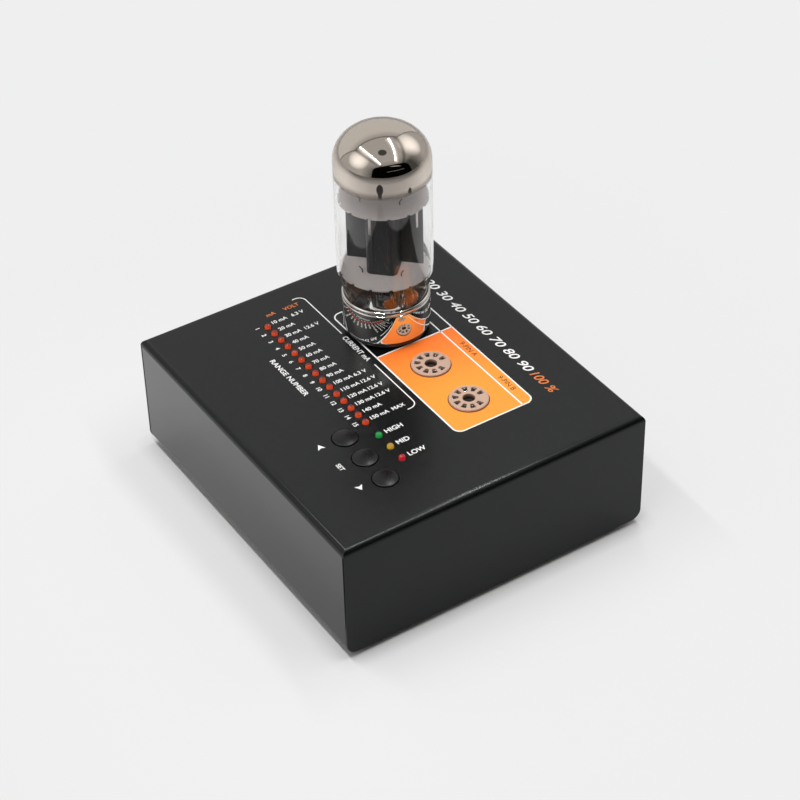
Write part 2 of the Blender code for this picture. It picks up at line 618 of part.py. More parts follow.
def make_octal_socket():
    under = BOARD_TOP + FIT
    key_hole = OCTAL_KEY_RADIUS + FIT
    profile = [(key_hole, SOCKET_TOP), (OCTAL_RADIUS - SOCKET_EDGE, SOCKET_TOP),
               (OCTAL_RADIUS, SOCKET_TOP - SOCKET_EDGE), (OCTAL_RADIUS, under), (key_hole, under)]
    holes = bmesh.new()
    low = under - SOCKET_EDGE
    high = SOCKET_TOP + SOCKET_EDGE
    first = math.pi / OCTAL_PIN_COUNT
    for x, y, _ in around(OCTAL_PIN_COUNT, OCTAL_PIN_CIRCLE_RADIUS, first):
        add_rod(holes, OCTAL_PIN_RADIUS + FIT, low, high, x, y)
    keyway = OCTAL_KEY_RADIUS + OCTAL_KEY_RIB_PROUD + FIT
    add_box(holes, (keyway, OCTAL_KEY_RIB_WIDTH + 2 * FIT, high - low), (keyway / 2, 0.0, (low + high) / 2))
    mesh = finished_mesh("octal_socket", turned(profile, MIDDLE), [(holes, "DIFFERENCE")])
    add_piece("octal_socket", mesh, "ceramic", (OCTAL_X, SOCKET_ROW_Y, 0.0))


def make_tube_base(axis):
    key_under = WAFER_UNDER - OCTAL_KEY_LENGTH
    rim_top = SLEEVE_UNDER - FIT
    plug = SLEEVE_BORE - FIT
    profile = [(0.0, WAFER_PLUG_TOP), (plug, WAFER_PLUG_TOP), (plug, rim_top), (WAFER_RADIUS, rim_top),
               (WAFER_RADIUS, WAFER_UNDER), (OCTAL_KEY_RADIUS, WAFER_UNDER), (OCTAL_KEY_RADIUS, key_under),
               (0.0, key_under)]
    pins = bmesh.new()
    root = WAFER_UNDER + WAFER_RIM_HEIGHT / 2
    first = math.pi / OCTAL_PIN_COUNT
    for x, y, _ in around(OCTAL_PIN_COUNT, OCTAL_PIN_CIRCLE_RADIUS, first):
        add_rod(pins, OCTAL_PIN_RADIUS, WAFER_UNDER - OCTAL_PIN_LENGTH, root, x, y)
    rib = OCTAL_KEY_RADIUS + OCTAL_KEY_RIB_PROUD
    add_box(pins, (rib, OCTAL_KEY_RIB_WIDTH, root - key_under), (rib / 2, 0.0, (root + key_under) / 2))
    mesh = finished_mesh("tube_wafer", turned(profile, FINE), [(pins, "UNION")])
    add_piece("tube_wafer", mesh, "phenolic", parent=axis)

    # Thin metal sleeve whose upper edge is rolled inwards
    roll = SLEEVE_ROLL
    centre = (SLEEVE_RADIUS - roll, SLEEVE_TOP - roll)
    rolled = arc(centre, roll, 0.0, math.pi / 2, CROWN_STEPS)
    sleeve = [(SLEEVE_RADIUS, SLEEVE_UNDER)] + rolled
    sleeve += [(SLEEVE_RADIUS - roll, SLEEVE_TOP - SLEEVE_WALL), (SLEEVE_BORE, SLEEVE_TOP - 2 * roll),
               (SLEEVE_BORE, SLEEVE_UNDER)]
    add_piece("tube_sleeve", mesh_from("tube_sleeve", turned(sleeve, FINE)), "chrome", parent=axis)


def glass_outline(inset):
    # Radius and height along the bulb from its open neck to its top, moved in by inset
    neck = GLASS_NECK_RADIUS - inset
    bulb = GLASS_RADIUS - inset
    outline = [(neck, GLASS_UNDER), (neck, SLEEVE_TOP)]
    for step in range(1, FLARE_STEPS + 1):
        blend = 0.5 - 0.5 * math.cos(math.pi * step / FLARE_STEPS)
        outline.append((neck + (bulb - neck) * blend, SLEEVE_TOP + GLASS_TAPER * step / FLARE_STEPS))
    for step in range(DOME_STEPS):
        angle = math.pi / 2 * step / DOME_STEPS
        outline.append((bulb * math.cos(angle), DOME_START + (GLASS_DOME - inset) * math.sin(angle)))
    outline.append((0.0, DOME_START + GLASS_DOME - inset))
    return outline


def make_tube_glass(axis):
    outside = glass_outline(0.0)
    inside = glass_outline(GLASS_WALL)
    profile = outside[::-1] + inside
    add_piece("tube_glass", mesh_from("tube_glass", turned(profile, FINE)), "glass", parent=axis)


def make_tube_stem(axis):
    skirt = GLASS_NECK_RADIUS - GLASS_WALL - FIT
    skirt_top = GLASS_UNDER + STEM_SKIRT_HEIGHT
    neck_top = skirt_top + STEM_FLARE_HEIGHT
    press_top = neck_top + STEM_PRESS_HEIGHT
    profile = [(0.0, neck_top), (STEM_NECK_RADIUS, neck_top)]
    for step in range(1, FLARE_STEPS):
        share = step / FLARE_STEPS
        profile.append((STEM_NECK_RADIUS + (skirt - STEM_NECK_RADIUS) * share ** 2,
                        neck_top - STEM_FLARE_HEIGHT * share))
    profile += [(skirt, skirt_top), (skirt, GLASS_UNDER), (0.0, GLASS_UNDER)]
    press = add_box(bmesh.new(), (STEM_PRESS_LENGTH, STEM_PRESS_WIDTH, press_top - skirt_top),
                    (0.0, 0.0, (press_top + skirt_top) / 2))
    leads = bmesh.new()
    for number in range(STEM_LEAD_COUNT):
        x = (number - (STEM_LEAD_COUNT - 1) / 2) * STEM_LEAD_PITCH
        add_rod(leads, STEM_LEAD_RADIUS, neck_top, MICA_LOWER_UNDER - FIT, x, segments=WIRE)
    mesh = finished_mesh("tube_stem", turned(profile, MIDDLE), [(press, "UNION"), (leads, "UNION")])
    add_piece("tube_stem", mesh, "glass", turn=ANODE_ANGLE, parent=axis)


def make_tube_electrodes(axis):
    for name, under in (("lower", MICA_LOWER_UNDER), ("upper", MICA_UPPER_UNDER)):
        mica = add_rod(bmesh.new(), MICA_RADIUS, under, under + MICA_THICKNESS, segments=FINE)
        add_piece(f"tube_mica_{name}", mesh_from(f"tube_mica_{name}", mica), "mica", parent=axis)

    # Box anode with a cooling fin on each side
    height = ANODE_TOP - ANODE_UNDER
    middle = (ANODE_TOP + ANODE_UNDER) / 2
    box = add_box(bmesh.new(), (ANODE_WIDTH, ANODE_DEPTH, height), (0.0, 0.0, middle))
    inside = (ANODE_WIDTH - 2 * ANODE_SHEET, ANODE_DEPTH - 2 * ANODE_SHEET, 2 * height)
    hollow = add_box(bmesh.new(), inside, (0.0, 0.0, middle))
    fins = bmesh.new()
    fin_length = (ANODE_SPAN - ANODE_WIDTH + ANODE_SHEET) / 2
    for sign in (-1, 1):
        add_box(fins, (fin_length, ANODE_SHEET, height), (sign * (ANODE_SPAN - fin_length) / 2, 0.0, middle))
    mesh = finished_mesh("tube_anode", box, [(hollow, "DIFFERENCE"), (fins, "UNION")])
    add_piece("tube_anode", mesh, "anode", turn=ANODE_ANGLE, parent=axis)

    core = add_box(bmesh.new(), (CATHODE_WIDTH, CATHODE_DEPTH, height), (0.0, 0.0, middle))
    add_piece("tube_cathode", mesh_from("tube_cathode", core), "cathode", turn=ANODE_ANGLE, parent=axis)


def make_tube_getter(axis):
    under = MICA_UPPER_UNDER + MICA_THICKNESS + FIT
    strap_top = under + GETTER_STRAP_HEIGHT
    post_top = strap_top + GETTER_POST_HEIGHT
    strap = add_box(bmesh.new(), (GETTER_SPAN, GETTER_STRAP_WIDTH, GETTER_STRAP_HEIGHT),
                    (0.0, 0.0, (under + strap_top) / 2))
    posts = bmesh.new()
    cups = bmesh.new()
    reach = GETTER_SPAN / 2 - GETTER_STRAP_WIDTH / 2
    for sign in (-1, 1):
        add_rod(posts, GETTER_POST_RADIUS, (under + strap_top) / 2, post_top, sign * reach, segments=WIRE)
        add_rod(cups, GETTER_CUP_RADIUS, post_top - GETTER_CUP_HEIGHT / 2, post_top + GETTER_CUP_HEIGHT / 2,
                sign * reach, segments=MIDDLE)
    mesh = finished_mesh("tube_getter", strap, [(posts, "UNION"), (cups, "UNION")])
    add_piece("tube_getter", mesh, "nickel", turn=ANODE_ANGLE, parent=axis)


def make_power_jack():
    centre = (JACK_X, JACK_FACE_Y - JACK_LENGTH / 2, JACK_Z)
    shape = add_box(bmesh.new(), (JACK_WIDTH, JACK_LENGTH, JACK_HEIGHT), centre)
    ring = turned([(JACK_PIN_RADIUS, JACK_MOUTH_DEPTH), (JACK_MOUTH_RADIUS, JACK_MOUTH_DEPTH),
                   (JACK_MOUTH_RADIUS, -FIT), (JACK_PIN_RADIUS, -FIT)], MIDDLE)
    ring.transform(Matrix.Translation((JACK_X, JACK_FACE_Y, JACK_Z)) @ ALONG_Y)
    add_piece("power_jack", finished_mesh("power_jack", shape, [(ring, "DIFFERENCE")]), "switch")


def make_board_parts():
    seat = BOARD_UNDER - FIT
    middle = (0.0, 0.0, seat - CORE_HEIGHT / 2)
    core = add_box(bmesh.new(), (CORE_WIDTH, CORE_DEPTH, CORE_HEIGHT), middle)
    winding = add_box(bmesh.new(), (WINDING_WIDTH, WINDING_DEPTH, WINDING_HEIGHT), middle)
    add_piece("transformer", finished_mesh("transformer", core, [(winding, "UNION")]), "ferrite",
              (TRANSFORMER_X, TRANSFORMER_Y, 0.0))

    low = seat - CAPACITOR_HEIGHT
    can = [(0.0, seat), (CAPACITOR_RADIUS, seat), (CAPACITOR_RADIUS, low + CAPACITOR_EDGE),
           (CAPACITOR_RADIUS - CAPACITOR_EDGE, low), (0.0, low)]
    add_piece("reservoir_capacitor", mesh_from("reservoir_capacitor", turned(can, MIDDLE)), "can",
              (CAPACITOR_X, BOARD_BACK - CAPACITOR_BACK_INSET, 0.0))

    half = HEAT_SINK_WIDTH / 2
    pitch = (HEAT_SINK_WIDTH - HEAT_SINK_FIN) / (HEAT_SINK_FINS - 1)
    comb = [(half, seat), (-half, seat)]
    for number in range(HEAT_SINK_FINS):
        left = number * pitch - half
        comb += [(left, seat - HEAT_SINK_HEIGHT), (left + HEAT_SINK_FIN, seat - HEAT_SINK_HEIGHT)]
        if number < HEAT_SINK_FINS - 1:
            root = seat - HEAT_SINK_BASE
            comb += [(left + HEAT_SINK_FIN, root), (left + pitch, root)]
    sink = prism(comb, HEAT_SINK_LENGTH, ALONG_Y)
    add_piece("heat_sink", mesh_from("heat_sink", sink), "aluminium",
              (HEAT_SINK_X, BOARD_BACK - HEAT_SINK_BACK_INSET, 0.0))

    chip_middle = (0.0, 0.0, seat - CHIP_HEIGHT / 2)
    chip = add_box(bmesh.new(), (CHIP_LENGTH, CHIP_WIDTH, CHIP_HEIGHT), chip_middle)
    bmesh.ops.bevel(chip, geom=chip.edges, offset=CHIP_EDGE, segments=1, affect="EDGES")
    add_piece("microcontroller", mesh_from("microcontroller", chip), "chip", (CHIP_X, CHIP_Y, 0.0))


def main():
    clear_scene()
    make_cover()
    make_tray()
    make_feet()
    make_cover_screws()
    make_board()
    make_spacers()
    make_lamps()
    make_buttons()
    make_noval_sockets()
    make_octal_socket()
    tube_axis = add_empty("tube_axis", (OCTAL_X, SOCKET_ROW_Y, 0.0))
    make_tube_base(tube_axis)
    make_tube_glass(tube_axis)
    make_tube_stem(tube_axis)
    make_tube_electrodes(tube_axis)
    make_tube_getter(tube_axis)
    make_power_jack()
    make_board_parts()


main()
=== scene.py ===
import math

import bpy
from mathutils import Matrix, Vector


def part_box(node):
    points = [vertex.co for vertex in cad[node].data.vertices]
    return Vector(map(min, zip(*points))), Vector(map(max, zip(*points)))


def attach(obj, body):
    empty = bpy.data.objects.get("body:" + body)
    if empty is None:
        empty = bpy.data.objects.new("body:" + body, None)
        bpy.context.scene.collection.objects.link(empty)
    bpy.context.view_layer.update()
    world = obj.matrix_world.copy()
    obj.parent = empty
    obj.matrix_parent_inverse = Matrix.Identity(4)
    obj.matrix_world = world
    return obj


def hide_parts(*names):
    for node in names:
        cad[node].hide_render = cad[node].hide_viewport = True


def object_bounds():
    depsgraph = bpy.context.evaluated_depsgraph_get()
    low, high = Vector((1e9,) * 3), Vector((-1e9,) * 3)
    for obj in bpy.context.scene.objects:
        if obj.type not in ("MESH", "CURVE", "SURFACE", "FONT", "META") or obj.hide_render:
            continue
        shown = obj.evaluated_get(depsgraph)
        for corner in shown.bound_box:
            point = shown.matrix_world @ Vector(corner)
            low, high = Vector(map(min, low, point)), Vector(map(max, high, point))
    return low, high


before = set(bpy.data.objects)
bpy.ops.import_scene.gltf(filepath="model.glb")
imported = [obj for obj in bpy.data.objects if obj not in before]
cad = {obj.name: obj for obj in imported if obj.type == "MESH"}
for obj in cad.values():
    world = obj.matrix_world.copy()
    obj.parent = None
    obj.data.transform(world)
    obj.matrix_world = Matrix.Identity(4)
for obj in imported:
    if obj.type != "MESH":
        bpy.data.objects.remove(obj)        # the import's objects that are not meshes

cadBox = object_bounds()
mm = 0.001
smoothAngle = math.radians(32)               # faces that meet at less are shaded as one surface
print("frame loaded:", len(cad), "nodes")


# Selecting and shaping by hand

def objectMode():
    if bpy.context.object and bpy.context.object.mode != "OBJECT":
        bpy.ops.object.mode_set(mode="OBJECT")
    bpy.ops.object.select_all(action="DESELECT")


def pick(piece, *others):
    objectMode()
    for chosen in (piece, *others):
        chosen.select_set(True)
    bpy.context.view_layer.objects.active = piece


def settled(piece):
    # The piece's place, turn and scale go into its mesh
    pick(piece)
    bpy.ops.object.transform_apply(location=True, rotation=True, scale=True)
    return piece


def grab(piece, kind, test):
    # Edit mode with only what passes the test selected, by its middle and its direction
    pick(piece)
    mesh = piece.data
    for group in (mesh.vertices, mesh.edges, mesh.polygons):
        group.foreach_set("select", [False] * len(group))
    bpy.context.tool_settings.mesh_select_mode = [kind == name for name in ("vert", "edge", "face")]
    if kind == "vert":
        for vertex in mesh.vertices:
            vertex.select = test(vertex.co)
    elif kind == "edge":
        for edge in mesh.edges:
            start, end = (mesh.vertices[index].co for index in edge.vertices)
            edge.select = test((start + end) / 2, (end - start).normalized())
    else:
        for face in mesh.polygons:
            face.select = test(face.center, face.normal)
    bpy.ops.object.mode_set(mode="EDIT")


def everything(piece):
    grab(piece, "face", lambda middle, normal: True)


def along(way, axis):
    # True for a direction that runs along this axis, either way
    return abs(way[axis]) > 0.9


def anyEdge(at, way):
    return True


def bevelEdges(piece, test, width, steps):
    grab(piece, "edge", test)
    bpy.ops.mesh.bevel(offset=width, segments=steps, affect="EDGES")
    objectMode()


def dropFaces(piece, test):
    grab(piece, "face", test)
    bpy.ops.mesh.delete(type="FACE")
    objectMode()


def applyModifier(piece, kind, **settings):
    pick(piece)
    modifier = piece.modifiers.new(kind.lower(), kind)
    for name, value in settings.items():
        setattr(modifier, name, value)
    bpy.ops.object.modifier_apply(modifier=modifier.name)


def carve(piece, cutter, operation="DIFFERENCE"):
    applyModifier(piece, "BOOLEAN", object=cutter, operation=operation, solver="EXACT")
    bpy.data.objects.remove(cutter)


def softenEdges(piece, width):
    # A narrow chamfer on every sharp edge, with flat faces kept flat in the shading
    applyModifier(piece, "BEVEL", width=width, segments=1, limit_method="ANGLE",
                  angle_limit=math.radians(40), miter_outer="MITER_SHARP")
    pick(piece)
    bpy.ops.object.shade_smooth_by_angle(angle=smoothAngle)
    applyModifier(piece, "WEIGHTED_NORMAL", keep_sharp=True, weight=100)


def slab(name, size, centre):
    objectMode()
    bpy.ops.mesh.primitive_cube_add(size=1, location=centre)
    piece = bpy.context.object
    piece.name = name
    piece.scale = size
    return settled(piece)


def rod(name, radius, low, high, centre, sides=48):
    objectMode()
    bpy.ops.mesh.primitive_cylinder_add(vertices=sides, radius=radius, depth=high - low,
                                        location=(centre[0], centre[1], (low + high) / 2))
    piece = bpy.context.object
    piece.name = name
    return settled(piece)


def joined(name, pieces):
    pick(pieces[0], *pieces[1:])
    if len(pieces) > 1:
        bpy.ops.object.join()
    pieces[0].name = name
    return pieces[0]


def copied(piece, name, shift=(0, 0, 0)):
    pick(piece)
    bpy.ops.object.duplicate(linked=False)
    twin = bpy.context.object
    twin.name = name
    bpy.ops.transform.translate(value=shift)
    return settled(twin)


def turnedAbout(piece, angle, centre):
    # Turns a piece about the upright line through centre
    pick(piece)
    there = Matrix.Translation(centre)
    piece.matrix_world = there @ Matrix.Rotation(angle, 4, "Z") @ there.inverted() @ piece.matrix_world
    return settled(piece)


def drawn(points):
    # A line in the XZ plane, drawn by extruding one vertex from point to point
    objectMode()
    bpy.ops.mesh.primitive_plane_add(size=mm, location=(0, 0, 0))
    bpy.context.tool_settings.mesh_select_mode = (True, False, False)
    bpy.ops.object.mode_set(mode="EDIT")
    bpy.ops.mesh.select_all(action="SELECT")
    bpy.ops.mesh.merge(type="CENTER")
    bpy.ops.transform.translate(value=(points[0][0], 0, points[0][1]))
    for start, end in zip(points, points[1:]):
        step = (end[0] - start[0], 0, end[1] - start[1])
        bpy.ops.mesh.extrude_region_move(TRANSFORM_OT_translate={"value": step})
    return bpy.context.object


def lathe(name, points, centre=(0, 0), steps=64, loop=False):
    # A profile of (radius, height) points spun about the upright line through centre
    piece = drawn(points + points[:1] if loop else points)
    piece.name = name
    bpy.ops.mesh.select_all(action="SELECT")
    bpy.ops.mesh.spin(steps=steps, angle=2 * math.pi, center=(0, 0, 0), axis=(0, 0, 1))
    bpy.ops.mesh.select_all(action="SELECT")
    bpy.ops.mesh.remove_doubles(threshold=0.002 * mm)
    bpy.ops.mesh.normals_make_consistent(inside=False)
    bpy.ops.transform.translate(value=(centre[0], centre[1], 0))
    objectMode()
    return piece


def around(centre, radius, angle):
    # The point at this angle on a circle
    return (centre[0] + radius * math.cos(angle), centre[1] + radius * math.sin(angle))


def arc(centre, radius, start, end, steps):
    # Points on a circle, with angles in degrees
    angles = [math.radians(start + (end - start) * step / steps) for step in range(steps + 1)]
    return [around(centre, radius, angle) for angle in angles]


def scaled(points, level=0):
    # Points in millimetres, with their heights measured from this level
    return [(across * mm, level + height * mm) for across, height in points]


def middle(node):
    low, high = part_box(node)
    return (low + high) / 2


def spread(first, nodes, labels):
    # The first piece and a copy of it at each further node, all made before any is dressed
    pieces = [first]
    for node, label in zip(nodes[1:], labels[1:]):
        shift = middle(node) - middle(nodes[0])
        pieces.append(copied(first, label, (shift.x, shift.y, 0)))
    return pieces


def numbered(word, nodes):
    return [f"{word}{number}" for number in range(1, len(nodes) + 1)]


def dressed(piece, finish, body="case", nodes=(), smooth=True):
    settled(piece)
    piece.data.materials.clear()
    piece.data.materials.append(finishes[finish])
    if smooth:
        bpy.ops.object.shade_smooth_by_angle(angle=smoothAngle)
    if nodes:
        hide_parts(*nodes)
    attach(piece, body)
    return piece


# Shader maths

class Wire:
    # One output socket; sums and products of wires add Math nodes to their tree
    def __init__(self, tree, socket=None):
        self.tree = tree
        self.socket = socket

    def add(self, kind, settings=None, inputs=None, output=0):
        node = self.tree.nodes.new("ShaderNode" + kind)
        for name, value in (settings or {}).items():
            setattr(node, name, value)
        for name, value in (inputs or {}).items():
            self.feed(node.inputs[name], value)
        return Wire(self.tree, node.outputs[output])

    def feed(self, socket, value):
        if isinstance(value, Wire):
            self.tree.links.new(value.socket, socket)
        elif socket.type == "RGBA":
            socket.default_value = (*value, 1.0)
        else:
            socket.default_value = value

    def maths(self, operation, first, second=0.0):
        return self.add("Math", {"operation": operation}, {0: first, 1: second})

    def __add__(self, other):
        return self.maths("ADD", self, other)

    def __radd__(self, other):
        return self.maths("ADD", other, self)

    def __sub__(self, other):
        return self.maths("SUBTRACT", self, other)

    def __rsub__(self, other):
        return self.maths("SUBTRACT", other, self)

    def __mul__(self, other):
        return self.maths("MULTIPLY", self, other)

    def __rmul__(self, other):
        return self.maths("MULTIPLY", other, self)

    def __abs__(self):
        return self.maths("ABSOLUTE", self)

    def held(self):
        # Kept between 0 and 1
        return self.add("Clamp", inputs={0: self})

    def ramp(self, start, length):
        # Goes from 0 at start to 1 a length further on
        return ((self - start) * (1 / length)).held()

    def between(self, low, high):
        # Goes from low to high as this value goes from 0 to 1
        return self * (high - low) + low

    def blend(self, first, second):
        # Colour that goes from first to second as this value goes from 0 to 1
        return self.add("Mix", {"data_type": "RGBA"}, {0: self, 6: first, 7: second}, output=2)


def newMaterial(name, plain=None):
    # A material with its even values set, and a wire and the shader to work on
    material = bpy.data.materials.new(name)
    material.use_nodes = True
    wire = Wire(material.node_tree)
    shader = material.node_tree.nodes["Principled BSDF"]
    for socket, value in (plain or {}).items():
        wire.feed(shader.inputs[socket], value)
    return material, wire, shader


def speckle(wire, size, detail=2.0):
    # Noise whose grains are about this large, on the piece's own coordinates
    place = wire.add("TexCoord", output="Object")
    return wire.add("TexNoise", inputs={"Vector": place, "Scale": 1 / size, "Detail": detail})


def coordinate(wire, axis):
    # One of the piece's own coordinates: 0 for X, 1 for Y, 2 for Z
    place = wire.add("TexCoord", output="Object")
    return wire.add("SeparateXYZ", inputs={0: place}, output=axis)


def bumped(wire, shader, height, depth):
    normal = wire.add("Bump", inputs={"Height": height, "Distance": depth, "Strength": 1.0})
    wire.feed(shader.inputs["Normal"], normal)


# Camera and studio

cameraSetup = {
    "lens": 106.02,
    "sensor": 36,
    "azimuth": 57.673,
    "elevation": 38.914,
    "roll": -1.45,
    "distance": 1.07916,
    "target": (-0.01212, 0.01421, 0.0337),
    "clipEnd": 50,
}

studio = {
    "floorSize": 8.0,
    "floorColour": (0.70, 0.70, 0.705),
    "floorOutside": (0.27, 0.27, 0.275),     # painted shade: how reflections find the floor in front of the tent's opening
    "shadeWay": (1.0, -0.45, 0.0),
    "shadeStart": -0.10,
    "shadeReach": 0.42,
    "backdrop": (0.863, 0.863, 0.866),
    "evenRings": [(0.008, 0.46), (0.18, 0.54)],    # distance, and the share without shadow gained over it
    "stripWidth": 0.018,
    "stripHeight": 0.66,
    "strips": [((-0.36, -0.20), (0.32, -0.25), 2.8), ((-0.20, 0.23), (0.38, 0.11), 2.0)],
}

# Planes and directions as seen from the object
tentPlan = {
    "tint": (1.0, 0.985, 0.965),
    "top": 0.46,
    "back": 0.64,
    "backPlanes": [(-1.0, 0.31, -0.57), (-0.74, 1.0, 0.14), (-1.66, -1.0, 0.15)],
    "backEdge": 22.0,
    "seamDark": 0.95,
    "seamShade": 0.45,                       # the sheet darkens towards its upper seam
    "seamShadeReach": 1 / 3,
    "wallLamps": [(-0.21, -0.77, 0.60), (0.03, 0.79, 0.62)],
    "wallLampPower": 0.95,
    "wallLampSize": 0.10,
    "gapSlope": 0.68,                        # dark gaps between the top and the side walls
    "gapWidth": 0.12,
    "gapDark": 0.6,
    "fadeStart": 0.12,                       # towards the opening the side walls fade
    "fadeReach": 0.50,
    "fadeTop": 0.50,                         # and less so above this height
    "fadeTopReach": 1 / 3,
    "fadeDepth": 0.85,
    "openingPlanes": [(1.66, 1.0, 0.0), (0.84, -1.0, 0.0), (1.02, -0.25, -1.0)],
    "openingSharp": 4.0,
    "openingEdge": (0.25, 0.125),
    "openingDark": 0.985,
    "hole": (0.13, -0.07, 0.989),
    "holeSize": 0.011,
    "holeEdge": 1 / 3,
    "holeDark": 0.85,
    "bands": [((-0.50, -0.36, 0.79), (0.54, -0.43, 0.72), 0.12, 0.9),
              ((-0.28, 0.35, 0.89), (0.67, 0.16, 0.72), 0.12, 0.9),
              ((0.88, -0.31, 0.37), (0.90, 0.29, 0.32), 0.014, 0.6),
              ((0.80, 0.00, 0.60), (0.82, 0.10, 0.57), 0.025, 1.2)],
    "bandEnd": 0.025,
}


def placeCamera(setup):
    objectMode()
    azimuth, elevation, roll = (math.radians(setup[name]) for name in ("azimuth", "elevation", "roll"))
    level = math.cos(elevation)
    back = Vector((math.sin(azimuth) * level, -math.cos(azimuth) * level, math.sin(elevation)))
    right = Vector((math.cos(azimuth), math.sin(azimuth), 0))
    up = back.cross(right)
    tiltedRight = right * math.cos(roll) + up * math.sin(roll)
    tiltedUp = up * math.cos(roll) - right * math.sin(roll)
    bpy.ops.object.camera_add()
    camera = bpy.context.object
    turn = Matrix((tiltedRight, tiltedUp, back)).transposed().to_4x4()
    camera.matrix_world = Matrix.Translation(Vector(setup["target"]) + back * setup["distance"]) @ turn
    camera.data.sensor_width = setup["sensor"]
    camera.data.lens = setup["lens"]
    camera.data.clip_end = setup["clipEnd"]
    bpy.context.scene.camera = camera


def reach(wire, direction, axis):
    # How far a direction goes along an axis
    return wire.add("VectorMath", {"operation": "DOT_PRODUCT"}, {0: direction, 1: axis}, output="Value")


def inWedge(wire, direction, planes, sharp):
    # 1 for directions on the inner side of all these planes, and 0 beyond them
    inside = 1.0
    for plane in planes:
        inside = (reach(wire, direction, plane) * sharp).held() * inside
    return inside


def near(wire, direction, axis, size):
    # 1 in a direction, falling to 0 away from it
    return reach(wire, direction, Vector(axis).normalized()).ramp(1 - size, size)


def seenRay(wire):
    # Straight from the camera, or through glass with no bounce on the way
    path = {name: wire.add("LightPath", output=name)
            for name in ("Is Camera Ray", "Is Transmission Ray", "Diffuse Depth", "Glossy Depth")}
    bounced = (path["Diffuse Depth"] + path["Glossy Depth"]).held()
    return (path["Is Camera Ray"] + path["Is Transmission Ray"] * (1 - bounced)).held()


def hangTent(spec, backdrop):
    # A white tent with a sheet hung at its back and lamps behind its walls, open towards +X
    world = bpy.data.worlds.new("lightTent")
    bpy.context.scene.world = world
    world.use_nodes = True
    wire = Wire(world.node_tree)
    direction = wire.add("TexCoord", output="Generated")
    forward, aside, up = (reach(wire, direction, axis) for axis in ((1, 0, 0), (0, 1, 0), (0, 0, 1)))
    back = inWedge(wire, direction, spec["backPlanes"], spec["backEdge"])
    seam = back * (1 - back) * (4 * spec["seamDark"])
    below = reach(wire, direction, spec["backPlanes"][0]).ramp(0, spec["seamShadeReach"])
    sheet = below.between(1 - spec["seamShade"], 1)
    fade = forward.ramp(spec["fadeStart"], spec["fadeReach"])
    lower = 1 - up.ramp(spec["fadeTop"], spec["fadeTopReach"])
    walls = spec["top"] * (1 - fade * lower * spec["fadeDepth"])
    for lamp in spec["wallLamps"]:
        lampGlow = near(wire, direction, lamp, spec["wallLampSize"]) * spec["wallLampPower"]
        walls = walls + lampGlow * (1 - fade)
    gap = 1 - abs(abs(aside) - up * spec["gapSlope"]).ramp(0, spec["gapWidth"])
    walls = walls * (1 - gap * spec["gapDark"])
    room = walls * (1 - back) + sheet * back * spec["back"]
    wedge = inWedge(wire, direction, spec["openingPlanes"], spec["openingSharp"])
    opening = wedge.ramp(*spec["openingEdge"]) * spec["openingDark"]
    spot = near(wire, direction, spec["hole"], spec["holeSize"])
    hole = spot.ramp(0, spec["holeEdge"]) * spec["holeDark"]
    lit = room * (1 - seam) * (1 - opening) * (1 - hole)
    for start, end, width, power in spec["bands"]:
        first, last = Vector(start), Vector(end)
        halfway = (first + last).normalized()
        across = abs(reach(wire, direction, first.cross(last).normalized()))
        tip = first.normalized().dot(halfway)
        ends = reach(wire, direction, halfway).ramp(tip - spec["bandEnd"], spec["bandEnd"])
        glow = 1 - across.ramp(0, width)
        lit = lit + glow * glow * ends * power * (1 - back)
    tent = wire.add("Mix", {"data_type": "RGBA", "blend_type": "MULTIPLY"},
                    {0: 1.0, 6: spec["tint"], 7: lit}, output=2)
    background = world.node_tree.nodes["Background"]
    wire.feed(background.inputs["Color"], seenRay(wire).blend(tent, backdrop))


def hangStrips(spec):
    for start, end, power in spec["strips"]:
        run = Vector(end) - Vector(start)
        centre = (Vector(start) + Vector(end)) / 2
        objectMode()
        bpy.ops.object.light_add(type="AREA", location=(centre.x, centre.y, spec["stripHeight"]),
                                 rotation=(0, 0, math.atan2(run.y, run.x)))
        light = bpy.context.object.data
        light.shape = "RECTANGLE"
        light.size = run.length
        light.size_y = spec["stripWidth"]
        light.energy = power


def layFloor(spec):
    objectMode()
    bpy.ops.mesh.primitive_plane_add(size=spec["floorSize"], location=(0, 0, 0))
    floor = bpy.context.object
    floor.name = "studioFloor"
    material, wire, paper = newMaterial("floorPaper", {"Roughness": 0.7, "Specular IOR Level": 0.2})
    seen = seenRay(wire)
    place = wire.add("TexCoord", output="Object")
    shade = reach(wire, place, spec["shadeWay"]).ramp(spec["shadeStart"], spec["shadeReach"])
    lit = shade.blend(spec["floorColour"], spec["floorOutside"])
    wire.feed(paper.inputs["Base Color"], seen.blend(lit, spec["floorColour"]))
    even = wire.add("Emission", inputs={"Color": spec["backdrop"]})
    # Distance from the case's outline on the floor
    mirrored = wire.add("VectorMath", {"operation": "ABSOLUTE"}, {0: place})
    beyond = wire.add("VectorMath", {"operation": "SUBTRACT"}, {0: mirrored, 1: cadBox[1]})
    outside = wire.add("VectorMath", {"operation": "MAXIMUM"}, {0: beyond, 1: (0, 0, 0)})
    away = wire.add("VectorMath", {"operation": "LENGTH"}, {0: outside}, output="Value")
    share = seen * sum(away.ramp(0, distance) * gain for distance, gain in spec["evenRings"])
    shown = wire.add("MixShader", inputs={0: share, 1: Wire(wire.tree, paper.outputs[0]), 2: even})
    wire.feed(wire.tree.nodes["Material Output"].inputs["Surface"], shown)
    floor.data.materials.append(material)


bpy.context.scene.view_settings.view_transform = "Standard"
placeCamera(cameraSetup)
hangTent(tentPlan, studio["backdrop"])
hangStrips(studio)
layFloor(studio)
print("camera and light tent placed")


# Finishes

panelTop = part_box("top_cover")[1].z
tubeAxis = middle("tube_wafer")

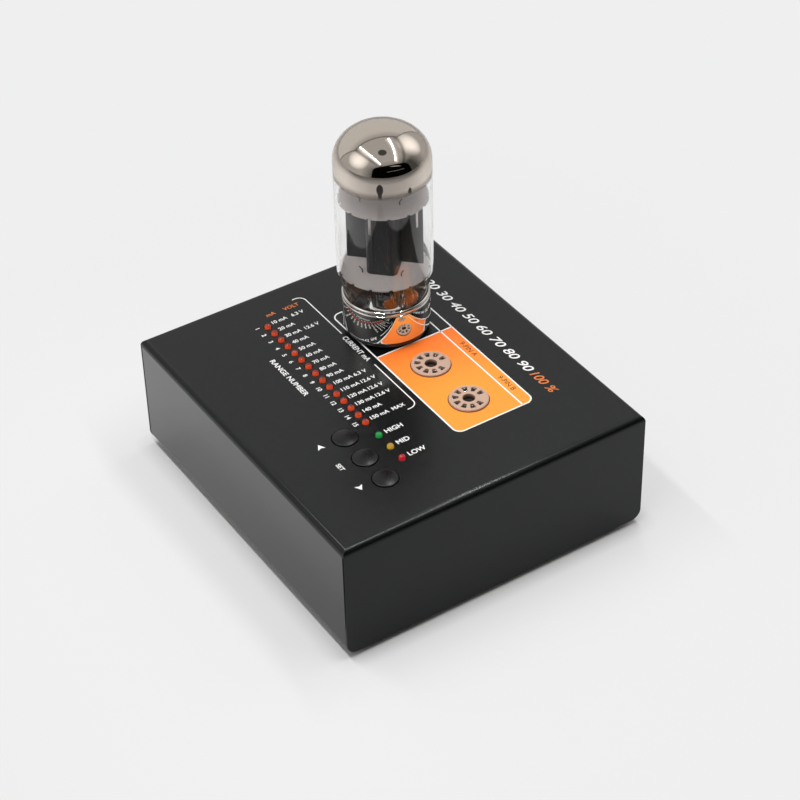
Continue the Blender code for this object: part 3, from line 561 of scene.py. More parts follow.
# Dark and light grain, least and most roughness, then the grain's size and depth in millimetres
grainLooks = {
    "footRubber": ((0.012, 0.012, 0.012), (0.022, 0.022, 0.022), (0.75, 0.9), 0.4, 0.02),
    "boardLaminate": ((0.012, 0.085, 0.035), (0.02, 0.12, 0.05), (0.35, 0.5), 0.8, 0.01),
    "whiteNylon": ((0.72, 0.71, 0.66), (0.80, 0.79, 0.74), (0.42, 0.55), 0.5, 0.01),
    "switchBlack": ((0.018, 0.018, 0.018), (0.03, 0.03, 0.03), (0.45, 0.6), 0.4, 0.01),
    "buttonBlack": ((0.0015, 0.0017, 0.0018), (0.003, 0.0033, 0.0035), (0.26, 0.32), 0.25, 0.005),
    "coreFerrite": ((0.035, 0.035, 0.04), (0.06, 0.06, 0.065), (0.5, 0.7), 0.6, 0.02),
    "capacitorSleeve": ((0.022, 0.04, 0.13), (0.03, 0.05, 0.17), (0.28, 0.4), 1.2, 0.01),
    "waferPhenolic": ((0.010, 0.009, 0.008), (0.018, 0.015, 0.013), (0.28, 0.42), 0.4, 0.01),
    "baseCement": ((0.22, 0.11, 0.05), (0.30, 0.16, 0.075), (0.75, 0.9), 0.8, 0.03),
    "tubeMica": ((0.74, 0.66, 0.64), (0.82, 0.745, 0.725), (0.38, 0.55), 2.0, 0.01),
    "anodeCarbon": ((0.060, 0.064, 0.066), (0.078, 0.082, 0.085), (0.42, 0.6), 0.5, 0.015),
    "leadOxide": ((0.030, 0.027, 0.025), (0.060, 0.052, 0.046), (0.35, 0.5), 0.4, 0.01),
    "cathodeOxide": ((0.62, 0.60, 0.57), (0.72, 0.70, 0.67), (0.7, 0.85), 0.3, 0.01),
}

# Even values that a few of them have besides; the mica and the cement behind the glass glow faintly,
# painted light that makes up for light the glass holds back
evenValues = {
    "buttonBlack": {"Specular IOR Level": 0.4},
    "baseCement": {"Emission Color": (0.34, 0.16, 0.06), "Emission Strength": 0.07},
    "tubeMica": {"Emission Color": (0.85, 0.78, 0.76), "Emission Strength": 0.10},
}

# Colour and roughness
metalLooks = {
    "screwZinc": ((0.62, 0.62, 0.60), 0.35),
    "sinkAluminium": ((0.62, 0.63, 0.64), 0.35),
    "sleeveChrome": ((0.80, 0.785, 0.765), 0.05),
    "wireNickel": ((0.66, 0.64, 0.61), 0.22),
    "contactMetal": ((0.86, 0.84, 0.80), 0.16),
    "tabNickel": ((0.86, 0.83, 0.78), 0.3),
}

# Refractive index and the tint of the gloss
coatLooks = {
    "coverCoat": (1.455, (0.95, 0.985, 1.0)),
    # The tray's copy of the same coat has a higher index, so its faces reflect more: a lit copy
    "trayCoat": (2.1, (1.0, 1.0, 1.0)),
}


def grained(name, dark, light, rough, grain, relief, plain=None):
    # A finish with fine colour grain, uneven gloss and a matching relief
    material, wire, shader = newMaterial(name, plain)
    fine = speckle(wire, grain * mm)
    broad = speckle(wire, 30 * grain * mm)
    wire.feed(shader.inputs["Base Color"], fine.blend(dark, light))
    wire.feed(shader.inputs["Roughness"], broad.between(*rough))
    bumped(wire, shader, fine, relief * mm)
    return material


metalCloud = {
    "size": 6 * mm,
    "darker": 0.88,
    "roughSpan": (0.6, 1.6),                 # against the metal's own roughness
}


def brightMetal(name, tint, rough):
    material, wire, shader = newMaterial(name, {"Metallic": 1.0})
    cloud = speckle(wire, metalCloud["size"], 3.0)
    shade = [metalCloud["darker"] * part for part in tint]
    wire.feed(shader.inputs["Base Color"], cloud.blend(shade, tint))
    span = [rough * part for part in metalCloud["roughSpan"]]
    wire.feed(shader.inputs["Roughness"], cloud.between(*span))
    return material


coatGrain = {
    "fine": 0.5 * mm,
    "peel": 1.1 * mm,
    "cloud": 40 * mm,
    "contrast": 3,
    "dark": (0.0004, 0.0005, 0.0005),
    "light": (0.0062, 0.0070, 0.0070),
    "rough": (0.235, 0.285),
    "fineShare": 0.7,
    "peelShare": 0.3,
    "relief": 0.03 * mm,
}


def powderCoat(name, index, gleam):
    spec = coatGrain
    material, wire, shader = newMaterial(name, {"IOR": index, "Specular Tint": gleam})
    fine = speckle(wire, spec["fine"], 3.0)
    peel = speckle(wire, spec["peel"], 1.0)
    cloud = speckle(wire, spec["cloud"])
    grain = ((fine - 0.5) * spec["contrast"] + 0.5).held()
    wire.feed(shader.inputs["Base Color"], grain.blend(spec["dark"], spec["light"]))
    wire.feed(shader.inputs["Roughness"], cloud.between(*spec["rough"]))
    bumped(wire, shader, fine * spec["fineShare"] + peel * spec["peelShare"], spec["relief"])
    return material


ceramicLook = {
    "dark": (0.42, 0.27, 0.20),
    "light": (0.51, 0.35, 0.265),
    "grain": 0.5 * mm,
    "rough": (0.45, 0.62),
    "relief": 0.02 * mm,
    "holeShade": (0.05, 0.03, 0.02),              # painted shade down the pin holes
    "holeShadeTop": panelTop + 0.7 * mm,
    "holeShadeReach": 1.5 * mm,
}


def boredCeramic(name, spec):
    # Steatite, with painted shade down its pin holes
    material, wire, shader = newMaterial(name)
    fine = speckle(wire, spec["grain"])
    # Painted shade, darker the deeper down the holes
    depth = coordinate(wire, 2).ramp(spec["holeShadeTop"], -spec["holeShadeReach"])
    shade = fine.blend(spec["dark"], spec["light"])
    wire.feed(shader.inputs["Base Color"], depth.blend(shade, spec["holeShade"]))
    wire.feed(shader.inputs["Roughness"], fine.between(*spec["rough"]))
    bumped(wire, shader, fine, spec["relief"])
    return material


glassLook = {
    "even": {"Base Color": (0.97, 0.975, 0.97), "Transmission Weight": 1.0, "IOR": 1.47},
    "wave": 9 * mm,
    "rough": 0.01,
    "relief": 0.03 * mm,
}


def clearGlass(name, spec):
    material, wire, shader = newMaterial(name, spec["even"])
    waves = speckle(wire, spec["wave"], 1.0)
    wire.feed(shader.inputs["Roughness"], waves * spec["rough"])
    bumped(wire, shader, waves, spec["relief"])
    return material


finishes = {name: grained(name, *look, evenValues.get(name)) for name, look in grainLooks.items()}
for name, look in metalLooks.items():
    finishes[name] = brightMetal(name, *look)
for name, look in coatLooks.items():
    finishes[name] = powderCoat(name, *look)
finishes["socketCeramic"] = boredCeramic("socketCeramic", ceramicLook)
finishes["tubeGlass"] = clearGlass("tubeGlass", glassLook)
print("finishes mixed")


# Case: the cover is one folded sheet with short lips, the tray another one that fills its open ends

lampNames = sorted(name for name in cad if name.startswith("lamp_"))
buttonKeys = ("up", "ok", "down")
novalKeys = ("a", "b")
footNames = [f"foot_{number}" for number in range(1, 5)]
screwNames = [f"cover_screw_{number}" for number in range(1, 5)]

coverSheet = {
    "sheet": 1.2 * mm,
    "fold": 3.5 * mm,
    "foldSteps": 12,
    "lowerCorner": 5.0 * mm,
    "cornerSteps": 10,
    "edge": 0.12 * mm,
    "lampHole": 1.9 * mm,
    "buttonHole": 6.0 * mm,
    "novalHole": 9.3 * mm,
    "octalHole": 14.8 * mm,
    "cut": 5 * mm,                           # how far the holes' cutters reach above and below the panel
    "tab": (12.0 * mm, 14.0 * mm, 1.2 * mm),
    "tabLevel": 5.6 * mm,
    "tabCorner": 2.5 * mm,
    "screwHole": 1.8 * mm,
    "screwCut": 12 * mm,
}


def panelCutters(spec):
    holes = [(name, spec["lampHole"], 32) for name in lampNames]
    holes += [("button_cap_" + key, spec["buttonHole"], 64) for key in buttonKeys]
    holes += [("noval_socket_" + key, spec["novalHole"], 96) for key in novalKeys]
    holes += [("octal_socket", spec["octalHole"], 96)]
    return [rod("cutter", radius, panelTop - spec["cut"], panelTop + spec["cut"], middle(name), sides)
            for name, radius, sides in holes]


def coverTab(spec, spot):
    side = math.copysign(1, spot.x)
    tab = slab("coverTab", spec["tab"], (spot.x, spot.y, spec["tabLevel"]))
    bevelEdges(tab, lambda at, way: along(way, 2) and side * at.x < side * spot.x,
               spec["tabCorner"], steps=6)
    carve(tab, rod("cutter", spec["screwHole"], 0, spec["screwCut"], spot, sides=32))
    return tab


def makeCover(spec):
    low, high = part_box("top_cover")
    cover = slab("coverShell", high - low, (low + high) / 2)
    bevelEdges(cover, lambda at, way: at.z > high.z - mm, spec["fold"], spec["foldSteps"])
    bevelEdges(cover, lambda at, way: along(way, 0) and at.z < low.z + mm,
               spec["lowerCorner"], spec["cornerSteps"])
    lipLow = high.z - spec["fold"]
    # Open below, and open at the front and the back but for the lips
    dropFaces(cover, lambda at, normal: normal.z < -0.02 or (abs(normal.y) > 0.98 and at.z < lipLow))
    applyModifier(cover, "SOLIDIFY", thickness=spec["sheet"], offset=-1, use_even_offset=True)
    carve(cover, joined("cutter", panelCutters(spec)))
    cover = joined("coverShell", [cover] + [coverTab(spec, middle(name)) for name in screwNames])
    softenEdges(cover, spec["edge"])
    return dressed(cover, "coverCoat", nodes=["top_cover"], smooth=False)


traySheet = {
    "sheet": 1.2 * mm,
    "corner": 4.5 * mm,
    "cornerSteps": 10,
    "edge": 0.12 * mm,
    "seam": 0.05 * mm,                       # to the cover's sides, its lips and their end faces
    "footHole": 2.3 * mm,
    "screwHole": 1.8 * mm,
    "floorCut": 8 * mm,
    "jackWindow": 4.3 * mm,
    "windowCut": 5 * mm,
}


def laidAlongY(piece, place):
    piece.rotation_euler.x = math.pi / 2
    piece.location = place
    return settled(piece)


def makeTray(spec):
    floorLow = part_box("chassis_tray")[0].z
    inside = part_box("top_cover")[1] - Vector((coverSheet["sheet"], 0, coverSheet["fold"]))
    high = inside - Vector((1, 1, 1)) * spec["seam"]
    low = Vector((-high.x, -high.y, floorLow))
    tray = slab("trayShell", high - low, (low + high) / 2)
    bevelEdges(tray, lambda at, way: along(way, 0) and at.z < low.z + mm,
               spec["corner"], spec["cornerSteps"])
    dropFaces(tray, lambda at, normal: along(normal, 0) or normal.z > 0.9)
    applyModifier(tray, "SOLIDIFY", thickness=spec["sheet"], offset=-1, use_even_offset=True)
    holes = [(name, spec["footHole"]) for name in footNames]
    holes += [(name, spec["screwHole"]) for name in screwNames]
    cutters = [rod("cutter", radius, 0, spec["floorCut"], middle(name), sides=32) for name, radius in holes]
    jack = middle("power_jack")
    window = rod("cutter", spec["jackWindow"], -spec["windowCut"], spec["windowCut"], (0, 0))
    cutters.append(laidAlongY(window, (jack.x, high.y, jack.z)))
    carve(tray, joined("cutter", cutters))
    softenEdges(tray, spec["edge"])
    return dressed(tray, "trayCoat", nodes=["chassis_tray"], smooth=False)


makeCover(coverSheet)
makeTray(traySheet)
print("case folded")


# Feet and the screws beside them

footShape = {
    "profile": [(0, 0), (5.0, 0), (5.5, 0.13), (5.87, 0.5), (6.0, 1.0), (5.85, 2.9), (5.6, 3.2),
                (2.0, 3.2), (2.0, 5.3), (1.4, 5.9), (0, 5.9)],
}


def makeFeet(spec):
    first = lathe("foot1", scaled(spec["profile"]), middle(footNames[0]), steps=48)
    feet = spread(first, footNames, numbered("foot", footNames))
    for foot, name in zip(feet, footNames):
        dressed(foot, "footRubber", nodes=[name])


screwShape = {
    "profile": [(0, 1.4), (1.3, 1.42), (2.1, 1.62), (2.6, 2.05), (2.75, 2.6), (2.75, 3.2), (1.5, 3.2),
                (1.5, 7.0), (0.9, 7.7), (0, 7.7)],
    "recess": (2.9 * mm, 0.65 * mm, 1.5 * mm),
    "recessLevel": 1.5 * mm,
}


def makeScrews(spec):
    origin = middle(screwNames[0])
    first = lathe("screw1", scaled(spec["profile"]), origin, steps=48)
    for turn in (0, math.pi / 2):
        slot = slab("cutter", spec["recess"], (origin.x, origin.y, spec["recessLevel"]))
        carve(first, turnedAbout(slot, turn, origin))
    screws = spread(first, screwNames, numbered("screw", screwNames))
    for screw, name in zip(screws, screwNames):
        dressed(screw, "screwZinc", nodes=[name])


makeFeet(footShape)
makeScrews(screwShape)
print("feet and screws in")


# Lamps

lampShape = {
    "radius": 1.5,
    "top": 1.6,                              # heights are from the panel's top
    "rim": 1.9,
    "rimLow": -3.0,
    "rimHigh": -2.0,
    "rimEdge": 0.1,
    "glow": 1.2 * mm,                        # from the top down to where the painted light on the lens is brightest
    "leadRadius": 0.25 * mm,
    "leadGap": 1.27 * mm,
}

# Deep colours, and the bright colours of the painted light near the rim
lensLooks = {
    "redLens": ((0.13, 0.005, 0.003), (0.74, 0.075, 0.020)),
    "greenLens": ((0.004, 0.14, 0.020), (0.015, 0.36, 0.065)),
    "amberLens": ((0.26, 0.12, 0.006), (0.62, 0.36, 0.035)),
    "failLens": ((0.22, 0.003, 0.006), (0.68, 0.016, 0.028)),
}

statusLenses = {
    "lamp_good": ("greenLens", "lamp_green"),
    "lamp_worn": ("amberLens", "lamp_amber"),
    "lamp_fail": ("failLens", "lamp_red"),
}


def lampLens(name, deep, bright):
    # Tinted resin with painted light: its colour brightens towards the rim and it glows faintly
    material, wire, shader = newMaterial(name, {"Roughness": 0.12, "Specular IOR Level": 0.5,
                                                "Emission Strength": 0.3})
    top = panelTop + lampShape["top"] * mm
    shade = coordinate(wire, 2).ramp(top, -lampShape["glow"]).blend(deep, bright)
    wire.feed(shader.inputs["Base Color"], shade)
    wire.feed(shader.inputs["Emission Color"], shade)
    return material


def makeLamps(spec):
    radius, rim, rimLow, edge = (spec[name] for name in ("radius", "rim", "rimLow", "rimEdge"))
    profile = [(0, rimLow), (rim - edge, rimLow), (rim, rimLow + edge), (rim, spec["rimHigh"]),
               (radius, spec["rimHigh"])]
    profile += arc((0, spec["top"] - radius), radius, 0, 90, steps=10)
    origin = middle(lampNames[0])
    first = lathe("lamp1", scaled(profile, panelTop), origin, steps=32)
    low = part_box(lampNames[0])[0].z
    ends = [rod("lampLead", spec["leadRadius"], low, panelTop + rimLow * mm,
                (origin.x, origin.y + side * spec["leadGap"]), sides=10) for side in (-1, 1)]
    leads = spread(joined("lampLeads1", ends), lampNames, numbered("lampLeads", lampNames))
    lamps = spread(first, lampNames, numbered("lamp", lampNames))
    for lamp, name in zip(lamps, lampNames):
        lens, slotName = statusLenses.get(name, ("redLens", "lamp_red"))
        dressed(lamp, lens, nodes=[name])
    dressed(joined("lampLeads", leads), "wireNickel")


for name, look in lensLooks.items():
    finishes[name] = lampLens(name, *look)
makeLamps(lampShape)
print("lamps in")


# Push buttons

buttonShape = {
    "pocket": 2.0,
    "pocketTop": -5.0,                       # heights are from the panel's top
    "low": -7.5,
    "stem": 4.2,
    "lip": 6.8,
    "lipLow": -2.7,
    "lipHigh": -1.5,
    "radius": 5.6,
    "edge": 0.35,
    "edgeTurn": 82,                          # degrees that the rounded edge turns through
    "rim": 0.4,
    "crown": 1.0,
    "crownSteps": 8,
}


def makeButtons(spec):
    corners = [(0, "pocketTop"), ("pocket", "pocketTop"), ("pocket", "low"), ("stem", "low"),
               ("stem", "lipLow"), ("lip", "lipLow"), ("lip", "lipHigh"), ("radius", "lipHigh")]
    profile = [(spec.get(across, 0), spec[height]) for across, height in corners]
    edgeCentre = (spec["radius"] - spec["edge"], spec["rim"] - spec["edge"])
    profile += arc(edgeCentre, spec["edge"], 0, spec["edgeTurn"], steps=6)
    crownEdge, crownLow = profile[-1]
    for step in range(1, spec["crownSteps"] + 1):
        share = 1 - step / spec["crownSteps"]
        rise = (spec["crown"] - crownLow) * (1 - share * share)
        profile.append((crownEdge * share, crownLow + rise))
    capNames = ["button_cap_" + key for key in buttonKeys]
    first = lathe("buttonUp", scaled(profile, panelTop), middle(capNames[0]), steps=80)
    caps = spread(first, capNames, ["button" + key.capitalize() for key in buttonKeys])
    for cap, name, key in zip(caps, capNames, buttonKeys):
        dressed(cap, "buttonBlack", body="button_" + key, nodes=[name])


makeButtons(buttonShape)
print("buttons in")


# Ceramic sockets with their spring contacts

novalShape = {
    "profile": [(0, -12.2), (1.6, -12.2), (1.6, -12.9), (7.9, -12.9), (8.2, -12.6), (8.2, -7.9),
                (9.0, -7.9), (9.0, 0.5), (8.9, 0.8), (8.65, 1.02), (8.3, 1.1), (3.0, 1.1), (2.8, 0.9),
                (2.8, -2.0), (1.8, -2.0), (1.8, -9.0), (0, -9.0)],
    "slots": 10,
    "blank": 2,
    "firstAngle": math.radians(-18),
    "circle": 5.945 * mm,
    "hole": (2.9 * mm, 2.7 * mm, 8.0 * mm),
    "innerShare": 0.55,                      # width of the hole's inner end against its outer end
    "corner": 0.42 * mm,
    "top": panelTop + 1.1 * mm,
    "edge": 0.1 * mm,
    "leaf": (0.3 * mm, 1.15 * mm, 6.4 * mm),
    "leafDrop": 0.4 * mm,
    "leafEdge": 0.1 * mm,
    "leafGap": 0.62,                         # to the inner leaf, against the hole's length
    "innerLeaf": 0.6,                        # its width against the outer leaf's
}


def ringAngles(first, count, blank=None):
    # Even angles round a circle, with one place left out where the ring has a blank
    return [first + 2 * math.pi * number / count for number in range(count) if number != blank]


def makeNovals(spec):
    origin = middle("noval_socket_a")
    spot = Vector((origin.x, origin.y, 0))
    first = lathe("novalA", scaled(spec["profile"], panelTop), origin, steps=96)
    length, width, depth = spec["hole"]
    at = (origin.x + spec["circle"], origin.y, spec["top"])
    hole = slab("cutter", (length, width, 2 * depth), at)
    grab(hole, "vert", lambda place: place.x < at[0])
    bpy.ops.transform.resize(value=(1, spec["innerShare"], 1), center_override=at)
    objectMode()
    bevelEdges(hole, lambda place, way: along(way, 2), spec["corner"], steps=4)
    leafSize = spec["leaf"]
    level = spec["top"] - spec["leafDrop"] - leafSize[2] / 2
    leaf = slab("leaf", leafSize, (at[0] + length / 2 - leafSize[0], origin.y, level))
    bevelEdges(leaf, lambda place, way: place.z > level, spec["leafEdge"], steps=3)
    inner = copied(leaf, "leaf", (-spec["leafGap"] * length, 0, 0))
    inner.scale.y = spec["innerLeaf"]
    inner.location.y = origin.y * (1 - spec["innerLeaf"])
    pair = joined("leaf", [leaf, settled(inner)])
    cutters, leaves = [], []
    for angle in ringAngles(spec["firstAngle"], spec["slots"], spec["blank"]):
        cutters.append(turnedAbout(copied(hole, "cutter"), angle, spot))
        leaves.append(turnedAbout(copied(pair, "leaf"), angle, spot))
    for spare in (hole, pair):
        bpy.data.objects.remove(spare)
    carve(first, joined("cutter", cutters))
    softenEdges(first, spec["edge"])
    socketNames = ["noval_socket_" + key for key in novalKeys]
    sockets = spread(first, socketNames, ["novalA", "novalB"])
    clips = spread(joined("novalClipsA", leaves), socketNames, ["novalClipsA", "novalClipsB"])
    for socket, clip, name in zip(sockets, clips, socketNames):
        dressed(socket, "socketCeramic", nodes=[name], smooth=False)
        dressed(clip, "contactMetal")


octalShape = {
    "profile": [(0, -12.9), (13.6, -12.9), (14.0, -12.5), (14.0, -3.2), (14.5, -3.2), (14.5, 0.6),
                (14.35, 0.95), (14.0, 1.1), (0, 1.1)],
    "pins": 8,
    "firstAngle": math.radians(22.5),
    "circle": 8.725 * mm,
    "hole": 1.48 * mm,
    "holeDepth": 11.6 * mm,
    "key": 4.25 * mm,
    "keyDepth": 12.6 * mm,
    "rib": (1.4 * mm, 2.1 * mm, 25.2 * mm),
    "top": panelTop + 1.1 * mm,
    "edge": 0.15 * mm,
    "clip": (1.42 * mm, 1.24 * mm),
    "clipDrop": 0.7 * mm,
    "clipLength": 9.0 * mm,
}


def makeOctal(spec):
    origin = middle("octal_socket")
    socket = lathe("octalBlock", scaled(spec["profile"], panelTop), origin, steps=96)
    cutters = [rod("cutter", spec["key"], spec["top"] - spec["keyDepth"], spec["top"] + mm, origin),
               slab("cutter", spec["rib"], (origin.x + spec["key"], origin.y, spec["top"]))]
    clips = []
    outside, inside = spec["clip"]
    clipHigh = spec["top"] - spec["clipDrop"]
    clipLow = clipHigh - spec["clipLength"]
    ring = [(inside, clipLow), (outside, clipLow), (outside, clipHigh), (inside, clipHigh)]
    holeLow = spec["top"] - spec["holeDepth"]
    for angle in ringAngles(spec["firstAngle"], spec["pins"]):
        place = around(origin, spec["circle"], angle)
        cutters.append(rod("cutter", spec["hole"], holeLow, spec["top"] + mm, place, sides=32))
        clips.append(lathe("clip", ring, place, steps=24, loop=True))
    for cutter in cutters:
        carve(socket, cutter)
    softenEdges(socket, spec["edge"])
    dressed(socket, "socketCeramic", nodes=["octal_socket"], smooth=False)
    dressed(joined("octalClips", clips), "contactMetal")


makeNovals(novalShape)
makeOctal(octalShape)
print("sockets in")


# Tube base: black wafer with its key and pins, and the chromed sleeve

waferShape = {
    "profile": [(0, -10.6), (3.4, -10.6), (3.95, -10.0), (3.95, 1.4), (18.7, 1.4), (19.05, 1.55),
                (19.2, 1.9), (19.2, 3.6), (19.3, 3.9), (19.3, 6.9), (0, 6.9)],
    "rib": (1.8 * mm, 1.5 * mm, 11.4 * mm),
    "ribReach": 3.95 * mm,
    "ribLevel": panelTop - 4.3 * mm,
    "ribEdge": 0.2 * mm,
    "pin": [(0, -9.6), (0.5, -9.55), (0.95, -9.25), (1.18, -8.7), (1.18, 1.4), (0, 1.4)],
}

sleeveShape = {
    "profile": [(19.3, 3.9), (19.75, 3.95), (20.0, 4.15), (20.1, 4.5), (20.1, 18.7), (20.0, 18.95),
                (19.8, 19.1), (19.75, 19.3), (19.85, 19.5), (20.03, 19.7), (20.1, 20.1), (20.0, 20.65),
                (19.75, 21.02), (19.5, 21.2), (19.32, 21.1), (19.3, 20.85), (19.5, 20.5), (19.6, 20.0),
                (19.6, 4.6), (19.5, 4.3)],
    "cement": [(19.06, 7.0), (19.56, 7.0), (19.56, 20.5), (19.06, 20.5)],
}


def makeBase(wafer, sleeve, socket):
    base = lathe("waferDisc", scaled(wafer["profile"], panelTop), tubeAxis, steps=128)
    rib = slab("rib", wafer["rib"], (tubeAxis.x + wafer["ribReach"], tubeAxis.y, wafer["ribLevel"]))
    bevelEdges(rib, lambda at, way: abs(way.z) < 0.1, wafer["ribEdge"], steps=3)
    carve(base, rib, "UNION")
    dressed(base, "waferPhenolic", body="tube", nodes=["tube_wafer"])
    pins = []
    for angle in ringAngles(socket["firstAngle"], socket["pins"]):
        place = around(tubeAxis, socket["circle"], angle)
        pins.append(lathe("pin", scaled(wafer["pin"], panelTop), place, steps=24))
    dressed(joined("waferPins", pins), "wireNickel", body="tube")
    shell = lathe("sleeveShell", scaled(sleeve["profile"], panelTop), tubeAxis, steps=160, loop=True)
    dressed(shell, "sleeveChrome", body="tube", nodes=["tube_sleeve"])
    cement = lathe("baseCement", scaled(sleeve["cement"], panelTop), tubeAxis, steps=96, loop=True)
    dressed(cement, "baseCement", body="tube")


makeBase(waferShape, sleeveShape, octalShape)
print("tube base in")


# Tube: glass bulb, stem, electrodes and the mirror left inside the dome

bulbShape = {
    "low": 7.2,                              # heights are from the panel's top
    "neck": 19.0,
    "neckTop": 21.2,
    "radius": 21.8,
    "bulbLow": 33.2,
    "bulbHigh": 90.5,
    "dome": 16.2,
    "wall": 1.0,
    "taperSteps": 12,
    "domeSteps": 24,
}

towardsCamera = math.radians(-32.3)          # direction from the tube's axis, in the panel's plane


def bulbLine(spec, inset):
    # Outline of the bulb, drawn in by inset, from the neck up to the crown
    points = [(spec["neck"] - inset, spec["low"])]
    for step in range(spec["taperSteps"] + 1):
        share = step / spec["taperSteps"]
        ease = share * share * (3 - 2 * share)
        height = spec["neckTop"] + (spec["bulbLow"] - spec["neckTop"]) * share
        points.append((spec["neck"] + (spec["radius"] - spec["neck"]) * ease - inset, height))
    for step in range(spec["domeSteps"] + 1):
        turn = math.pi / 2 * step / spec["domeSteps"]
        height = spec["bulbHigh"] + (spec["dome"] - inset) * math.sin(turn)
        points.append(((spec["radius"] - inset) * math.cos(turn), height))
    return points


flashShape = {
    "inset": 0.88,                           # within the glass, so that no gap shows round it
    "thick": 0.04,
    "low": 76.8,
    "ripple": 1.5 * mm,
    "rippleSize": 14 * mm,
    "edgeLow": panelTop + 81.6 * mm,
    "edgeHigh": panelTop + 85.6 * mm,
    "thinColour": (0.16, 0.11, 0.08),
    "mirrorColour": (0.74, 0.66, 0.585),
    "fullShare": 1 / 1.6,                    # of the way up the edge, where the film is whole
    "shadowColour": (0.035, 0.030, 0.028),
    "shadowEdge": (-1.12, 0.2),
    "spots": [
        {"turn": -3.5, "level": panelTop + 88.0 * mm, "width": 1.45 * mm, "height": 2.7 * mm},
        {"turn": -3.5, "level": panelTop + 85.0 * mm, "width": 0.8 * mm, "height": 3.4 * mm},
        {"turn": -3.5, "level": panelTop + 82.0 * mm, "width": 0.4 * mm, "height": 3.6 * mm},
        {"turn": 33.0, "level": panelTop + 84.2 * mm, "width": 0.9 * mm, "height": 2.6 * mm},
    ],
}


def getterFlash(name, spec):
    # Mirror left on the inside of the dome; it thins out to brown along its lower edge
    material, wire, shader = newMaterial(name, {"Metallic": 1.0, "Roughness": 0.02})
    x, y, z = (coordinate(wire, axis) for axis in range(3))
    edge = z - speckle(wire, spec["rippleSize"]) * spec["ripple"]
    cover = edge.ramp(spec["edgeLow"], spec["edgeHigh"] - spec["edgeLow"])
    shade = cover.blend(spec["thinColour"], spec["mirrorColour"])
    for spot in spec["spots"]:
        # Dark patch where a support stood in the way of the vapour; the clear window there is painted dark,
        # painted shade for the unlit inside seen through it
        angle = towardsCamera + math.radians(spot["turn"])
        ahead = (x - tubeAxis.x) * math.cos(angle) + (y - tubeAxis.y) * math.sin(angle)
        aside = (y - tubeAxis.y) * math.cos(angle) - (x - tubeAxis.x) * math.sin(angle)
        across = aside * (1 / spot["width"])
        upwards = (z - spot["level"]) * (1 / spot["height"])
        inside = (0 - across * across - upwards * upwards).ramp(*spec["shadowEdge"])
        shade = (inside * ahead.ramp(0, mm)).blend(shade, spec["shadowColour"])
    wire.feed(shader.inputs["Base Color"], shade)
    wire.feed(shader.inputs["Alpha"], cover.ramp(0, spec["fullShare"]))
    return material


def makeBulb(bulb, flash):
    outer = bulbLine(bulb, 0)
    inner = bulbLine(bulb, bulb["wall"])
    glass = lathe("bulbGlass", scaled(outer[::-1] + inner, panelTop), tubeAxis, steps=160)
    dressed(glass, "tubeGlass", body="tube", nodes=["tube_glass"])

    def domeOnly(inset):
        line = [point for point in bulbLine(bulb, inset) if point[1] > bulb["bulbHigh"] - 0.01]
        return [(bulb["radius"] - inset, flash["low"])] + line

    outerFilm = domeOnly(flash["inset"])
    innerFilm = domeOnly(flash["inset"] + flash["thick"])
    mirror = lathe("flashMirror", scaled(outerFilm[::-1] + innerFilm, panelTop), tubeAxis, steps=160)
    finishes["getterFlash"] = getterFlash("getterFlash", flash)
    dressed(mirror, "getterFlash", body="tube")


stemShape = {
    "flare": [(0, 9.8), (3.2, 9.8), (12.0, 7.7), (16.8, 7.2), (17.4, 7.5), (17.4, 8.4), (14.5, 8.9),
              (10.6, 10.4), (7.6, 12.5), (6.0, 15.0), (5.6, 17.8), (0, 17.8)],
    "press": (18.0 * mm, 5.0 * mm, 6.6 * mm),
    "pressLevel": panelTop + 17.1 * mm,
    "pressEdge": 1.6 * mm,
    "leadHigh": panelTop + 33.2 * mm,
    "leadLow": panelTop + 11.8 * mm,
    "leads": [(-8.6, 0.0, 0.6), (-5.2, 0.0, 0.45), (-1.7, 0.0, 0.6), (1.9, 0.0, 0.45), (5.4, 0.0, 0.6),
              (8.6, 0.0, 0.45), (-6.6, 1.6, 0.4), (-3.4, -1.7, 0.5), (3.6, 1.7, 0.5), (7.0, -1.6, 0.4)],
    "turn": math.radians(45),
}


def makeStem(spec):
    stem = lathe("stemGlass", scaled(spec["flare"], panelTop), tubeAxis)
    press = slab("press", spec["press"], (tubeAxis.x, tubeAxis.y, spec["pressLevel"]))
    bevelEdges(press, anyEdge, spec["pressEdge"], steps=4)
    turnedAbout(press, spec["turn"], tubeAxis)
    carve(stem, press, "UNION")
    dressed(stem, "tubeGlass", body="tube", nodes=["tube_stem"])
    leads = []
    for x, y, radius in spec["leads"]:
        place = (tubeAxis.x + x * mm, tubeAxis.y + y * mm)
        leads.append(rod("lead", radius * mm, spec["leadLow"], spec["leadHigh"], place, sides=16))
    wires = turnedAbout(joined("stemLeads", leads), spec["turn"], tubeAxis)
    dressed(wires, "leadOxide", body="tube")


micaShape = {
    "radius": 20.2,
    "edge": 0.12 * mm,
    "notches": 14,
    "notch": 0.9 * mm,
}


def makeMicas(spec):
    low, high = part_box("tube_mica_lower")
    radius = spec["radius"] * mm
    disc = [(0, low.z), (radius, low.z), (radius, high.z), (0, high.z)]
    first = lathe("micaLower", disc, tubeAxis, steps=128)
    notches = [around(tubeAxis, radius, angle) for angle in ringAngles(0, spec["notches"])]
    cutters = [rod("cutter", spec["notch"], low.z - mm, high.z + mm, place, sides=12) for place in notches]
    carve(first, joined("cutter", cutters))
    softenEdges(first, spec["edge"])
    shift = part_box("tube_mica_upper")[0].z - low.z
    second = copied(first, "micaUpper", (0, 0, shift))
    dressed(first, "tubeMica", body="tube", nodes=["tube_mica_lower"], smooth=False)
    dressed(second, "tubeMica", body="tube", nodes=["tube_mica_upper"], smooth=False)


